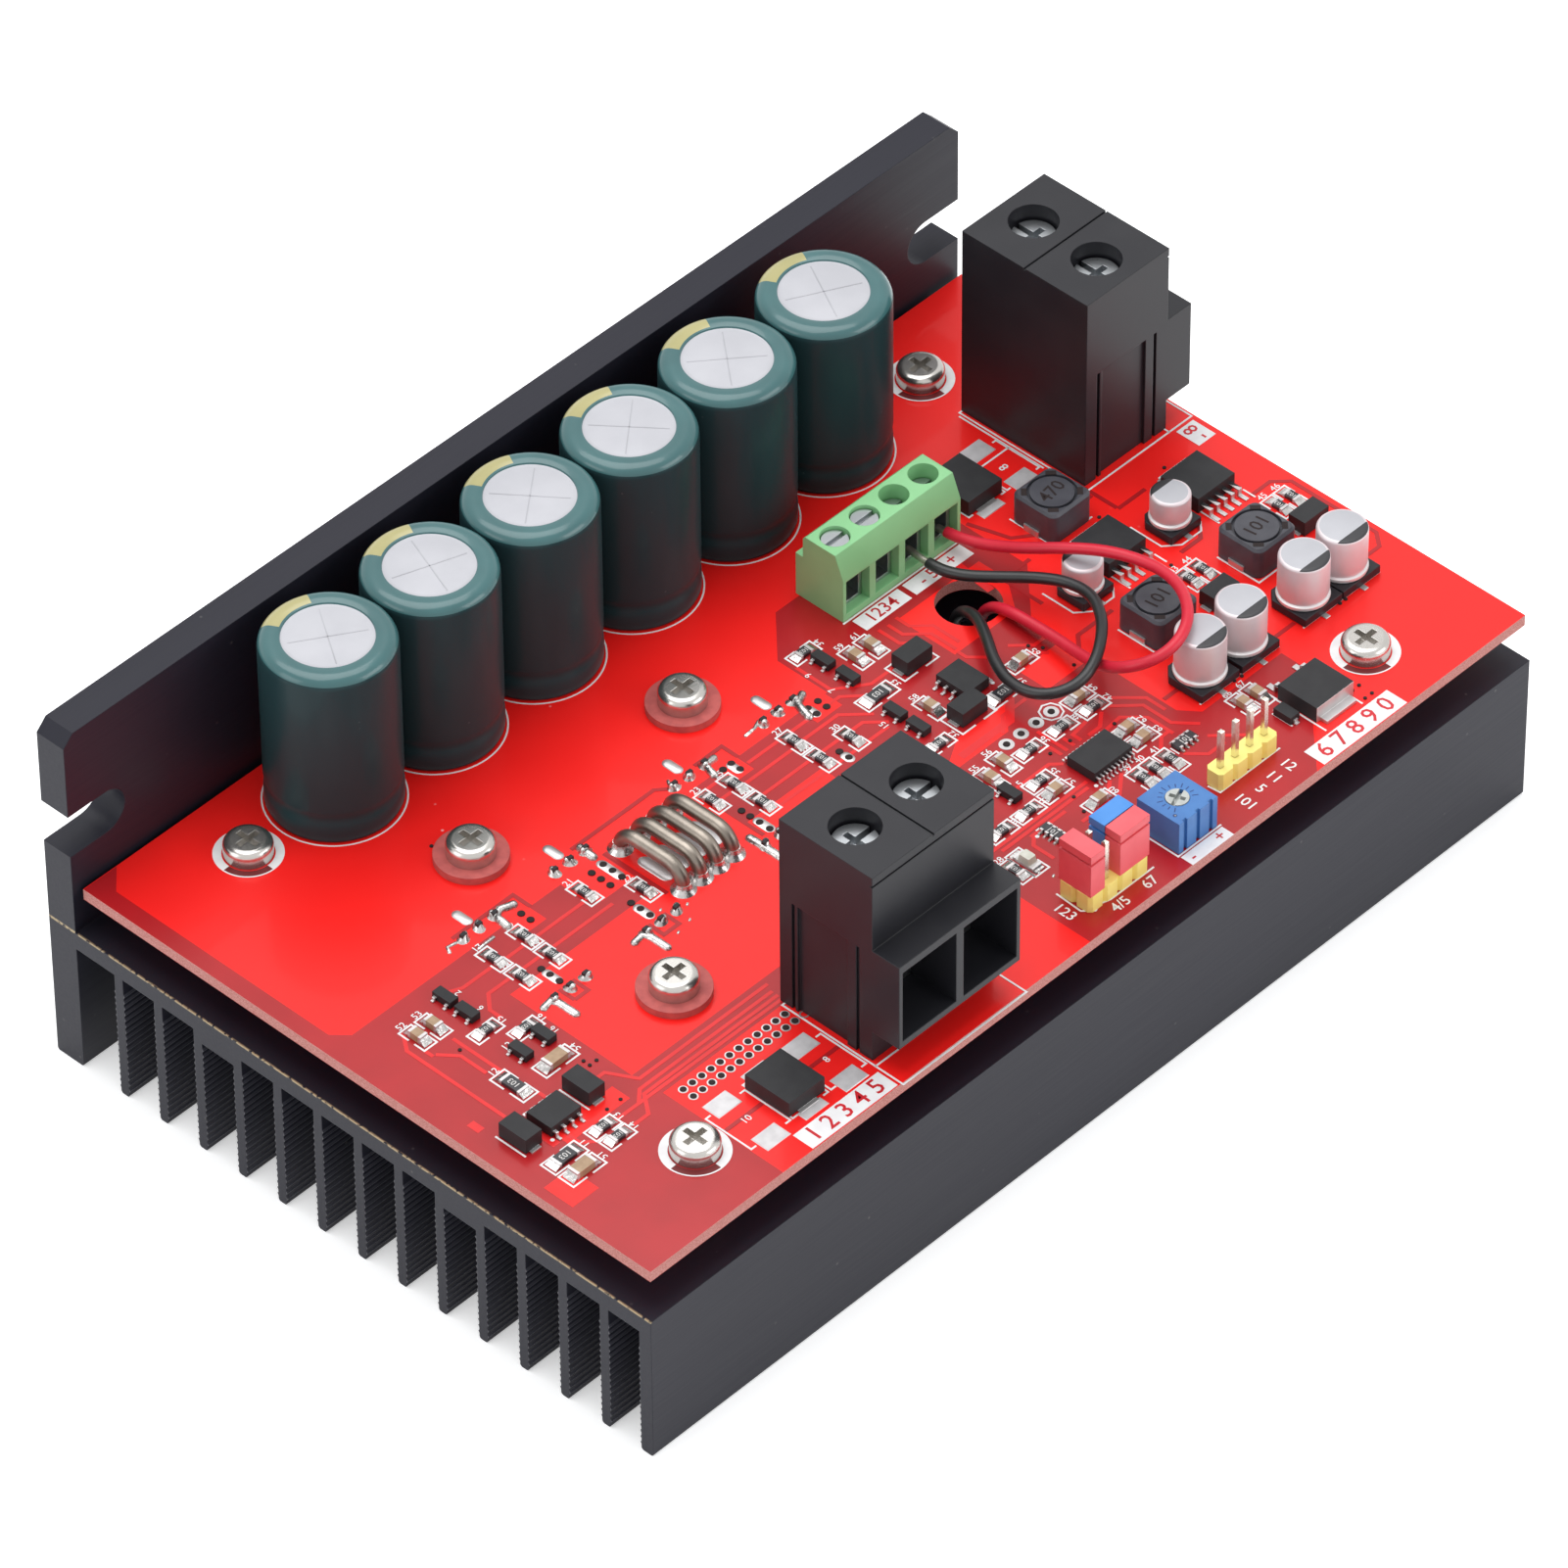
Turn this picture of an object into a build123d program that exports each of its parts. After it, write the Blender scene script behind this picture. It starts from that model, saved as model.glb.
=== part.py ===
from build123d import *
import math
import os

os.makedirs("parts", exist_ok=True)

# Driver module for a brushed motor: a finned heatsink lies with its fins down and carries the board.
# X runs along the extrusion, Y from the front edge to the tall wall, Z up from the fin tips.

# Heatsink extrusion
sink_length = 150.0
sink_width = 96.7
sink_height = 52.0
base_top = 21.6
base_thickness = 2.6
tall_wall = 4.4
front_wall = 1.85
fin_count = 13
fin_thickness = 1.35
first_fin = 7.35
last_fin_gap = 6.95
thick_bays = (3, 9)
thick_bay_depth = 1.6
edge_round = 0.4
wall_corner = 1.55
slot_height = 6.2
slot_depth = 8.9
slot_level = 36.7

# Circuit board and what holds it
board_thickness = 1.6
board_gap = 5.0
board_margin_left = 1.1
board_margin_front = 1.0
board_margin_wall = 0.6
corner_screw_inset_left = 18.4
corner_screw_inset_right = 17.6
clamp_screw_columns = (35.3, 70.6)
corner_screw_bays = (0, 11)
clamp_screw_bays = (3, 8)
screw_diameter = 3.0
screw_length = 10.0
screw_head = 6.0
screw_head_height = 2.3
screw_pass = 3.4
thread_clearance = 0.02
recess_span = 3.2
recess_width = 0.8
recess_depth = 1.2
washer_diameter = 9.0
washer_thickness = 1.0
spacer_diameter = 6.0

# Power transistors under the board
transistor_columns = (27.6, 42.6, 62.5, 77.5)
transistor_width = 10.16
transistor_length = 15.3
transistor_case = 9.0
tab_thickness = 1.3
tab_hole = 3.7
strip_thickness = 0.5
strip_margin = 1.2
upper_lead_row = 53.8
lower_lead_row = 39.2
lead_reach = 3.5
lead_level = 2.6
lead_pitch = 2.54
lead_width = 0.8
lead_thickness = 0.5
lead_tip = 0.9
lead_hole = 1.3

# Large capacitors along the tall wall
capacitor_diameter = 16.5
capacitor_height = 25.4
capacitor_gap = 0.1
capacitor_first = 32.0
capacitor_wall_gap = 2.45
capacitor_shoulder = 1.3
capacitor_disc = 11.0
capacitor_disc_depth = 0.5
crimp_level = 3.7
crimp_depth = 0.7

# Two-pole power terminals
pole_pitch = 10.1
block_width = 20.1
block_depth = 14.4
block_height = 28.4
funnel_depth = 4.15
funnel_bottom = 4.5
funnel_top = 17.2
mouth_width = 8.9
mouth_bottom = 5.4
mouth_top = 16.1
well_diameter = 6.2
well_setback = 7.3
head_drop = 2.2
clamp_screw_head = 5.6
clamp_head_height = 1.8
clamp_shank = 3.9
clamp_shank_length = 11.2
cage_width = 8.6
cage_depth = 9.0
cage_wall = 1.0
cage_roof = 1.8
cage_gap = 0.2
motor_terminal_left = 42.55
motor_terminal_front = 1.75
battery_terminal_front = 54.4

# Green signal terminal
signal_poles = 4
signal_pitch = 5.08
signal_left = 94.1
signal_front = 58.9
signal_depth = 6.5
signal_height = 9.8
signal_shoulder = 6.5
signal_slope = 1.3
window_width = 4.0
window_bottom = 1.0
window_top = 6.1
window_depth = 5.6
signal_well = 3.7
signal_well_setback = 3.7
signal_cage_width = 3.7
signal_cage_depth = 4.4
signal_cage_wall = 0.5
signal_screw_head = 3.4
signal_head_height = 1.2
signal_shank = 2.5
signal_screw_length = 3.7
signal_screw_tops = (9.3, 9.3, 7.6, 7.6)

# Current shunts
shunt_wire = 1.8
shunt_columns = (48.3, 51.1, 53.8, 56.5)
shunt_front = 41.1
shunt_span = 10.1
shunt_rise = 3.05
shunt_bend = 2.6
shunt_hole = 2.0

# Surface-mounted parts
inductor_side = 7.0
inductor_height = 4.35
inductor_core = 5.4
filter_can = 6.3
filter_can_height = 7.7
output_can = 5.0
output_can_height = 5.4
can_base_margin = 0.3
can_base_height = 1.3
foot_thickness = 0.2
resistor_size = (1.25, 2.0)
resistor_height = 0.55
large_resistor_size = (1.6, 3.2)
chip_capacitor_size = (1.25, 2.0)
chip_capacitor_height = 1.0
large_chip_capacitor_size = (1.6, 3.2)

# Trimmer and pin headers
trimmer_side = 6.6
trimmer_height = 4.7
trimmer_left = 91.5
trimmer_front = 3.3
rotor_diameter = 2.84
rotor_length = 3.4
rotor_clearance = 0.05
rotor_rise = 0.1
pin_pitch = 2.54
pin_side = 0.64
pin_tip = 8.2
header_base = 2.5
header_corner = 0.45
input_header_left = 103.9
input_header_front = 8.05
mode_header_left = 78.4
mode_header_front = 5.3
jumper_width = 2.4
jumper_length = 5.0
jumper_height = 6.3
jumper_clearance = 0.03

# Cooling fan in its pocket among the fins
fan_side = 40.0
fan_depth = 10.0
fan_bore = 37.6
fan_corner = 3.0
fan_hole_pitch = 32.0
fan_hole = 3.4
fan_left = 82.3
fan_front = 46.7
fan_pocket_gap = 0.4
fan_screw_length = 14.0
fan_motor = 22.0
fan_plate = 1.6
fan_strut = 2.4
fan_bearing = 6.0
fan_axle = 2.0
fan_axle_clearance = 0.03
rotor_hub = 21.0
rotor_wall = 1.0
rotor_gap = 0.8
blade_count = 7
blade_span = 36.4
blade_chord = 9.0
blade_thickness = 1.0
blade_pitch_angle = 38.0

# Fan wires
wire_diameter = 1.45
wire_hole = 8.2
wire_hole_left = 106.8
wire_hole_front = 50.5

# Datums worked out from the sizes above
LEFT, RIGHT = -sink_length / 2, sink_length / 2
FRONT, BACK = -sink_width / 2, sink_width / 2
base_bottom = base_top - base_thickness
bay_bottom = base_bottom - thick_bay_depth
board_bottom = base_top + board_gap
board_top = board_bottom + board_thickness
board_left = LEFT + board_margin_left
board_front = FRONT + board_margin_front
board_back = BACK - tall_wall - board_margin_wall
fin_pitch = (sink_width - tall_wall - last_fin_gap - first_fin) / (fin_count - 1)


def along(x, drawn=150.0):
    """X of a place measured from the left edge of the drawn board, spread with the length."""
    return LEFT + x * sink_length / drawn


def across(y, drawn=96.7):
    """Y of a place measured from the front edge of the drawn board, spread with the width."""
    return FRONT + y * sink_width / drawn


def bay(number):
    """Y of the middle of one gap between two fins."""
    return FRONT + first_fin + (number + 0.5) * fin_pitch


fan_place = (along(fan_left), across(fan_front))
wire_place = (along(wire_hole_left), across(wire_hole_front))
corner_columns = (along(corner_screw_inset_left), -along(corner_screw_inset_right))
corner_screws = [(x, bay(row)) for x in corner_columns for row in corner_screw_bays]
clamp_screws = [(along(x), bay(row)) for x in clamp_screw_columns for row in clamp_screw_bays]
fan_screws_at = [
    (fan_place[0] + i * fan_hole_pitch / 2, fan_place[1] + j * fan_hole_pitch / 2)
    for i in (-1, 1)
    for j in (-1, 1)
]
transistor_xs = [
    along(screw) + column - screw
    for screw, pair in zip(clamp_screw_columns, (transistor_columns[:2], transistor_columns[2:]))
    for column in pair
]
transistor_leads = [
    (x + n * lead_pitch, across(row))
    for row in (upper_lead_row, lower_lead_row)
    for x in transistor_xs
    for n in (-1, 0, 1)
]
shunt_feet = [(along(x), across(shunt_front) + end) for x in shunt_columns for end in (0, shunt_span)]


def save(piece, node):
    """Label a finished piece and write it as one file."""
    piece.part.label = node
    export_step(piece.part, f"parts/{node}.step")


# Heatsink: extruded profile, then the sawn ends, the drilled base and the milled fan pocket
with BuildPart() as heatsink:
    with BuildSketch(Plane.YZ.offset(LEFT)) as profile:
        with Locations((FRONT, base_bottom)):
            Rectangle(sink_width, base_thickness, align=(Align.MIN, Align.MIN))
        with Locations((FRONT, 0)):
            Rectangle(front_wall, base_top, align=(Align.MIN, Align.MIN))
        with Locations((BACK, 0)):
            Rectangle(tall_wall, sink_height, align=(Align.MAX, Align.MIN))
        with Locations(*[(FRONT + first_fin + n * fin_pitch, 0) for n in range(fin_count)]):
            Rectangle(fin_thickness, base_bottom, align=(Align.CENTER, Align.MIN))
        with Locations(*[(bay(n), bay_bottom) for n in thick_bays]):
            Rectangle(fin_pitch, thick_bay_depth, align=(Align.CENTER, Align.MIN))
        fillet(profile.vertices().group_by(Axis.Y)[0], edge_round)
    extrude(amount=sink_length)
    with BuildSketch(Plane.XZ.offset(-BACK)):
        for end, align in ((LEFT, Align.MIN), (RIGHT, Align.MAX)):
            inward = 1 if end == LEFT else -1
            with Locations((end, slot_level)):
                Rectangle(slot_depth - slot_height / 2, slot_height, align=(align, Align.CENTER))
            with Locations((end + inward * (slot_depth - slot_height / 2), slot_level)):
                Circle(slot_height / 2)
    extrude(amount=tall_wall, mode=Mode.SUBTRACT)
    chamfer(heatsink.edges().filter_by(Axis.Y).group_by(Axis.Z)[-1], wall_corner)
    with BuildSketch(Plane.XY.offset(bay_bottom)):
        with Locations(*corner_screws, *clamp_screws, *fan_screws_at):
            Circle(screw_diameter / 2 + thread_clearance)
        with Locations(wire_place):
            Circle(wire_hole / 2)
    extrude(amount=base_top - bay_bottom, mode=Mode.SUBTRACT)
    with BuildSketch(Plane.XY):
        with Locations(fan_place):
            Rectangle(fan_side + 2 * fan_pocket_gap, fan_side + 2 * fan_pocket_gap)
        with Locations((fan_place[0], wire_place[1])):
            reach = wire_place[0] + wire_hole / 2 - fan_place[0]
            Rectangle(reach, wire_hole, align=(Align.MIN, Align.CENTER))
    extrude(amount=bay_bottom, mode=Mode.SUBTRACT)
save(heatsink, "heatsink")

# Circuit board with its drilled holes
with BuildPart() as circuit_board:
    with BuildSketch(Plane.XY.offset(board_bottom)):
        with Locations((board_left, board_front)):
            Rectangle(RIGHT - board_left, board_back - board_front, align=(Align.MIN, Align.MIN))
        with Locations(*corner_screws, *clamp_screws):
            Circle(screw_pass / 2, mode=Mode.SUBTRACT)
        with Locations(wire_place):
            Circle(wire_hole / 2, mode=Mode.SUBTRACT)
        with Locations(*transistor_leads):
            Circle(lead_hole / 2, mode=Mode.SUBTRACT)
        with Locations(*shunt_feet):
            Circle(shunt_hole / 2, mode=Mode.SUBTRACT)
    extrude(amount=board_thickness)
save(circuit_board, "circuit_board")


def pan_screws(places, seat, length, up=1):
    """Pan-head screws with a cross recess, their heads standing on the plane z = seat."""
    with BuildPart() as screws:
        with BuildSketch(Plane.XY.offset(seat)):
            with Locations(*places):
                Circle(screw_head / 2)
        extrude(amount=up * screw_head_height)
        rims = screws.edges().filter_by(GeomType.CIRCLE).group_by(Axis.Z)
        fillet(rims[-1] if up > 0 else rims[0], screw_head_height * 0.4)
        with BuildSketch(Plane.XY.offset(seat)):
            with Locations(*places):
                Circle(screw_diameter / 2)
        extrude(amount=-up * length)
        with BuildSketch(Plane.XY.offset(seat + up * screw_head_height)):
            with Locations(*places):
                Rectangle(recess_span, recess_width)
                Rectangle(recess_width, recess_span)
        extrude(amount=-up * recess_depth, mode=Mode.SUBTRACT)
    return screws


# Screws, washers and spacers of the board
board_screws = pan_screws(corner_screws, board_top, screw_length)
save(board_screws, "board_screws")

board_clamp_screws = pan_screws(clamp_screws, board_top + washer_thickness, screw_length)
save(board_clamp_screws, "clamp_screws")

with BuildPart() as fibre_washers:
    with BuildSketch(Plane.XY.offset(board_top)):
        with Locations(*clamp_screws):
            Circle(washer_diameter / 2)
            Circle(screw_pass / 2, mode=Mode.SUBTRACT)
    extrude(amount=washer_thickness)
save(fibre_washers, "fibre_washers")

with BuildPart() as board_spacers:
    with BuildSketch(Plane.XY.offset(base_top)):
        with Locations(*corner_screws):
            Circle(spacer_diameter / 2)
            Circle(screw_pass / 2, mode=Mode.SUBTRACT)
    extrude(amount=board_gap)
save(board_spacers, "board_spacers")


def transistor_row(row, away):
    """Four power transistors lying on their tabs, leads at y = row and cases on the side away."""
    tab_level = base_top + strip_thickness
    case_face = across(row) + away * lead_reach
    columns = transistor_xs
    with BuildPart() as transistors:
        with BuildSketch(Plane.XY.offset(tab_level)):
            with Locations(*[(x, case_face + away * transistor_length / 2) for x in columns]):
                Rectangle(transistor_width, transistor_length)
            with Locations(*[(x, case_face + away * (transistor_length - 2.7)) for x in columns]):
                Circle(tab_hole / 2, mode=Mode.SUBTRACT)
        extrude(amount=tab_thickness)
        with BuildSketch(Plane.XY.offset(tab_level)):
            with Locations(*[(x, case_face + away * transistor_case / 2) for x in columns]):
                Rectangle(transistor_width, transistor_case)
        extrude(amount=board_bottom - tab_level)
        places = [(x + n * lead_pitch, across(row)) for x in columns for n in (-1, 0, 1)]
        run = lead_reach + lead_thickness / 2
        with BuildSketch(Plane.XY.offset(tab_level + lead_level - lead_thickness / 2)):
            with Locations(*[(x, y + away * (run / 2 - lead_thickness / 2)) for x, y in places]):
                Rectangle(lead_width, run)
        extrude(amount=lead_thickness)
        with BuildSketch(Plane.XY.offset(tab_level + lead_level)):
            with Locations(*places):
                Rectangle(lead_width, lead_thickness)
        extrude(amount=board_top + lead_tip - tab_level - lead_level)
    return transistors


upper_transistors = transistor_row(upper_lead_row, 1)
save(upper_transistors, "upper_transistors")

lower_transistors = transistor_row(lower_lead_row, -1)
save(lower_transistors, "lower_transistors")

with BuildPart() as insulating_strips:
    strip_length = transistor_xs[-1] - transistor_xs[0] + transistor_width + 2 * strip_margin
    strip_middle = (transistor_xs[0] + transistor_xs[-1]) / 2
    with BuildSketch(Plane.XY.offset(base_top)):
        for row, away in ((upper_lead_row, 1), (lower_lead_row, -1)):
            with Locations((strip_middle, across(row) + away * (lead_reach + transistor_length / 2))):
                Rectangle(strip_length, transistor_length + 2 * strip_margin)
        with Locations(*clamp_screws):
            Circle(screw_pass / 2, mode=Mode.SUBTRACT)
    extrude(amount=strip_thickness)
save(insulating_strips, "insulating_strips")

# Large capacitors: sleeve shrunk over the can, crimp above the foot, bare disc on top
capacitor_row = BACK - tall_wall - capacitor_wall_gap - capacitor_diameter / 2
capacitor_pitch = capacitor_diameter + capacitor_gap
capacitor_start = LEFT + capacitor_first - capacitor_diameter / 2
capacitor_count = int((corner_columns[1] - screw_head / 2 - capacitor_start) // capacitor_pitch)
for number in range(1, capacitor_count + 1):
    centre = (LEFT + capacitor_first + (number - 1) * capacitor_pitch, capacitor_row)
    radius = capacitor_diameter / 2
    with BuildPart() as capacitor:
        with BuildSketch(Plane.XZ.offset(-centre[1])) as section:
            with Locations((centre[0], board_top)):
                Rectangle(radius, capacitor_height, align=(Align.MIN, Align.MIN))
            rim = section.vertices().group_by(Axis.X)[-1].sort_by(Axis.Y)
            fillet(rim[-1], capacitor_shoulder)
            fillet(rim[0], capacitor_shoulder / 2)
            with Locations((centre[0], board_top + capacitor_height)):
                Rectangle(
                    capacitor_disc / 2,
                    capacitor_disc_depth,
                    align=(Align.MIN, Align.MAX),
                    mode=Mode.SUBTRACT,
                )
            with Locations((centre[0] + radius + crimp_depth, board_top + crimp_level)):
                Circle(2 * crimp_depth, mode=Mode.SUBTRACT)
        revolve(axis=Axis((centre[0], centre[1], 0), (0, 0, 1)))
    save(capacitor, f"capacitor_{number}")


def terminal_block(place):
    """Two-pole power terminal standing on a plane; its x runs along the poles and its y inwards."""
    poles = [(block_width - pole_pitch) / 2 + n * pole_pitch for n in (0, 1)]
    body_face = funnel_depth
    well_y = funnel_depth + well_setback
    cage_back = well_y + cage_depth / 2
    head_top = block_height - head_drop
    head_seat = head_top - clamp_head_height
    with BuildPart() as housing:
        with BuildSketch(place):
            with Locations((0, body_face)):
                Rectangle(block_width, block_depth, align=(Align.MIN, Align.MIN))
        extrude(amount=block_height)
        with BuildSketch(place.offset(funnel_bottom)):
            Rectangle(block_width, body_face, align=(Align.MIN, Align.MIN))
        extrude(amount=funnel_top - funnel_bottom)
        # Wire mouths run in to the back of the clamps
        with BuildSketch(place.offset(mouth_bottom)):
            with Locations(*[(x, 0) for x in poles]):
                Rectangle(mouth_width, cage_back + cage_gap, align=(Align.CENTER, Align.MIN))
        extrude(amount=mouth_top - mouth_bottom, mode=Mode.SUBTRACT)
        # Screw wells with a shoulder under each head
        with BuildSketch(place.offset(head_seat)):
            with Locations(*[(x, well_y) for x in poles]):
                Circle(well_diameter / 2)
        extrude(amount=block_height - head_seat, mode=Mode.SUBTRACT)
        with BuildSketch(place.offset(mouth_top)):
            with Locations(*[(x, well_y) for x in poles]):
                Circle(clamp_shank / 2 + cage_gap)
        extrude(amount=head_seat - mouth_top, mode=Mode.SUBTRACT)
        # Seam between the two poles, shadow line under the top edge, recessed end faces
        with BuildSketch(place.offset(block_height - 0.3)):
            with Locations((block_width / 2, body_face)):
                Rectangle(0.3, block_depth, align=(Align.CENTER, Align.MIN))
        extrude(amount=0.3, mode=Mode.SUBTRACT)
        with BuildSketch(place.offset(block_height - 1.5)):
            with Locations((0, body_face)):
                Rectangle(block_width, 0.3, align=(Align.MIN, Align.MIN))
        extrude(amount=0.3, mode=Mode.SUBTRACT)
        with BuildSketch(place):
            for x, align in ((0, Align.MIN), (block_width, Align.MAX)):
                with Locations((x, body_face + 3.9)):
                    Rectangle(0.4, 7.7, align=(align, Align.MIN))
                with Locations((x, body_face + 2.0)):
                    Rectangle(0.4, 0.5, align=(align, Align.MIN))
                with Locations((x, body_face + 12.0)):
                    Rectangle(0.4, 0.5, align=(align, Align.MIN))
        extrude(amount=16.5, mode=Mode.SUBTRACT)
    with BuildPart() as screws:
        with BuildSketch(place.offset(head_seat)):
            with Locations(*[(x, well_y) for x in poles]):
                Circle(clamp_screw_head / 2)
        extrude(amount=clamp_head_height)
        with BuildSketch(place.offset(head_seat)):
            with Locations(*[(x, well_y) for x in poles]):
                Circle(clamp_shank / 2)
        extrude(amount=-clamp_shank_length)
        with BuildSketch(place.offset(head_top)):
            with Locations(*[(x, well_y) for x in poles]):
                Rectangle(clamp_screw_head, recess_width)
                Rectangle(recess_width, recess_span)
        extrude(amount=-recess_depth, mode=Mode.SUBTRACT)
    with BuildPart() as clamps:
        cage_height = mouth_top - cage_gap - mouth_bottom
        with BuildSketch(place.offset(mouth_bottom)):
            with Locations(*[(x, well_y) for x in poles]):
                Rectangle(cage_width, cage_depth)
        extrude(amount=cage_height)
        with BuildSketch(place.offset(mouth_bottom + cage_wall)):
            with Locations(*[(x, well_y) for x in poles]):
                Rectangle(cage_width - 2 * cage_wall, cage_depth)
        extrude(amount=cage_height - cage_wall - cage_roof, mode=Mode.SUBTRACT)
        with BuildSketch(place.offset(mouth_bottom + cage_height - cage_roof)):
            with Locations(*[(x, well_y) for x in poles]):
                Circle(clamp_shank / 2 + thread_clearance)
        extrude(amount=cage_roof, mode=Mode.SUBTRACT)
    return housing, screws, clamps


# Power terminals: the motor's at the front edge, the battery's turned to the right edge
terminal_planes = {
    "motor_terminal": Plane(
        origin=(along(motor_terminal_left), FRONT + motor_terminal_front, board_top),
        x_dir=(1, 0, 0),
    ),
    "battery_terminal": Plane(
        origin=(RIGHT, across(battery_terminal_front), board_top),
        x_dir=(0, 1, 0),
    ),
}
for terminal, place in terminal_planes.items():
    for piece, name in zip(terminal_block(place), ("housing", "screws", "clamps")):
        save(piece, f"{terminal}_{name}")

# Green signal terminal: its side profile is drawn once, then the windows and wells are cut
signal_x = along(signal_left)
signal_y = across(signal_front)
signal_width = signal_poles * signal_pitch
pole_xs = [signal_x + (n + 0.5) * signal_pitch for n in range(signal_poles)]
with BuildPart() as signal_housing:
    with BuildSketch(Plane.YZ.offset(signal_x)):
        with BuildLine():
            Polyline(
                (signal_y, board_top),
                (signal_y, board_top + signal_shoulder),
                (signal_y + signal_slope, board_top + signal_height),
                (signal_y + signal_depth - 0.4, board_top + signal_height),
                (signal_y + signal_depth, board_top + signal_height - 0.4),
                (signal_y + signal_depth, board_top),
                close=True,
            )
        make_face()
    extrude(amount=signal_width)
    with BuildSketch(Plane.XY.offset(board_top)):
        with Locations((signal_x, signal_y + signal_depth)):
            Rectangle(1.5, 1.2, align=(Align.MIN, Align.MIN))
    extrude(amount=signal_shoulder)
    with BuildSketch(Plane.XY.offset(board_top + window_bottom)):
        with Locations(*[(x, signal_y) for x in pole_xs]):
            Rectangle(window_width, window_depth, align=(Align.CENTER, Align.MIN))
    extrude(amount=window_top - window_bottom, mode=Mode.SUBTRACT)
    with BuildSketch(Plane.XY.offset(board_top + window_top)):
        with Locations(*[(x, signal_y + signal_well_setback) for x in pole_xs]):
            Circle(signal_well / 2)
    extrude(amount=signal_height - window_top, mode=Mode.SUBTRACT)
save(signal_housing, "signal_terminal_housing")

with BuildPart() as signal_screws:
    for x, top in zip(pole_xs, signal_screw_tops):
        spot = (x, signal_y + signal_well_setback)
        with BuildSketch(Plane.XY.offset(board_top + top)):
            with Locations(spot):
                Circle(signal_screw_head / 2)
        extrude(amount=-signal_head_height)
        with BuildSketch(Plane.XY.offset(board_top + top)):
            with Locations(spot):
                Circle(signal_shank / 2)
        extrude(amount=-signal_screw_length)
        with BuildSketch(Plane.XY.offset(board_top + top)):
            with Locations(spot):
                Rectangle(signal_screw_head, 0.6)
        extrude(amount=-0.6, mode=Mode.SUBTRACT)
save(signal_screws, "signal_terminal_screws")

with BuildPart() as signal_clamps:
    cage_spots = [(x, signal_y + window_depth - signal_cage_depth / 2) for x in pole_xs]
    cage_floor = board_top + window_bottom
    cage_height = window_top - window_bottom - 0.1
    with BuildSketch(Plane.XY.offset(cage_floor)):
        with Locations(*cage_spots):
            Rectangle(signal_cage_width, signal_cage_depth)
    extrude(amount=cage_height)
    with BuildSketch(Plane.XY.offset(cage_floor + signal_cage_wall)):
        with Locations(*cage_spots):
            Rectangle(signal_cage_width - 2 * signal_cage_wall, signal_cage_depth)
    extrude(amount=cage_height - 3 * signal_cage_wall, mode=Mode.SUBTRACT)
    with BuildSketch(Plane.XY.offset(cage_floor + cage_height)):
        with Locations(*[(x, signal_y + signal_well_setback) for x in pole_xs]):
            Circle(signal_shank / 2 + thread_clearance)
    extrude(amount=-2 * signal_cage_wall, mode=Mode.SUBTRACT)
save(signal_clamps, "signal_terminal_clamps")

# Current shunts: thick wire bent into staples whose legs pass through the board
for number, column in enumerate(shunt_columns, start=1):
    near = across(shunt_front)
    far = near + shunt_span
    leg_end = board_bottom - 1.0
    crown = board_top + shunt_rise
    with BuildPart() as current_shunt:
        with BuildLine(Plane.YZ.offset(along(column))):
            FilletPolyline(
                (near, leg_end), (near, crown), (far, crown), (far, leg_end), radius=shunt_bend
            )
        with BuildSketch(Plane.XY.offset(leg_end)):
            with Locations((along(column), near)):
                Circle(shunt_wire / 2)
        sweep()
    save(current_shunt, f"current_shunt_{number}")

# Shielded inductors: square ferrite with a round core set in its top
inductor_places = [(along(x), across(y)) for x, y in ((124.5, 53.4), (136.5, 31.5), (119.1, 31.5))]
for number, place in enumerate(inductor_places, start=1):
    with BuildPart() as inductor:
        with BuildSketch(Plane.XY.offset(board_top)):
            with Locations(place):
                RectangleRounded(inductor_side, inductor_side, 1.1)
        extrude(amount=inductor_height)
        chamfer(inductor.faces().sort_by(Axis.Z)[-1].edges(), 0.35)
        with BuildSketch(Plane.XY.offset(board_top + inductor_height)):
            with Locations(place):
                Circle(inductor_core / 2 + 0.4)
                Circle(inductor_core / 2, mode=Mode.SUBTRACT)
        extrude(amount=-0.5, mode=Mode.SUBTRACT)
    save(inductor, f"inductor_{number}")


def can_capacitor(place, diameter, height):
    """Aluminium can on a square plastic base with two cut corners."""
    side = diameter + can_base_margin
    with BuildPart() as piece:
        with BuildSketch(Plane.XY.offset(board_top)) as base:
            with Locations(place):
                Rectangle(side, side)
            chamfer(base.vertices().group_by(Axis.Y)[-1], side * 0.2)
        extrude(amount=can_base_height)
        with BuildSketch(Plane.XY.offset(board_top + can_base_height)):
            with Locations(place):
                Circle(diameter / 2 - 0.3)
        extrude(amount=0.5)
        with BuildSketch(Plane.XY.offset(board_top + can_base_height + 0.5)):
            with Locations(place):
                Circle(diameter / 2)
        extrude(amount=height - can_base_height - 0.5)
        fillet(piece.edges().filter_by(GeomType.CIRCLE).sort_by(Axis.Z)[-1], 0.45)
    return piece


filter_places = [
    (along(middle) + side * (filter_can + can_base_margin + gap) / 2, across(21.7))
    for middle, gap in ((119.15, 0.5), (137.2, 0.2))
    for side in (-1, 1)
]
for number, place in enumerate(filter_places, start=1):
    save(can_capacitor(place, filter_can, filter_can_height), f"filter_capacitor_{number}")

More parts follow.
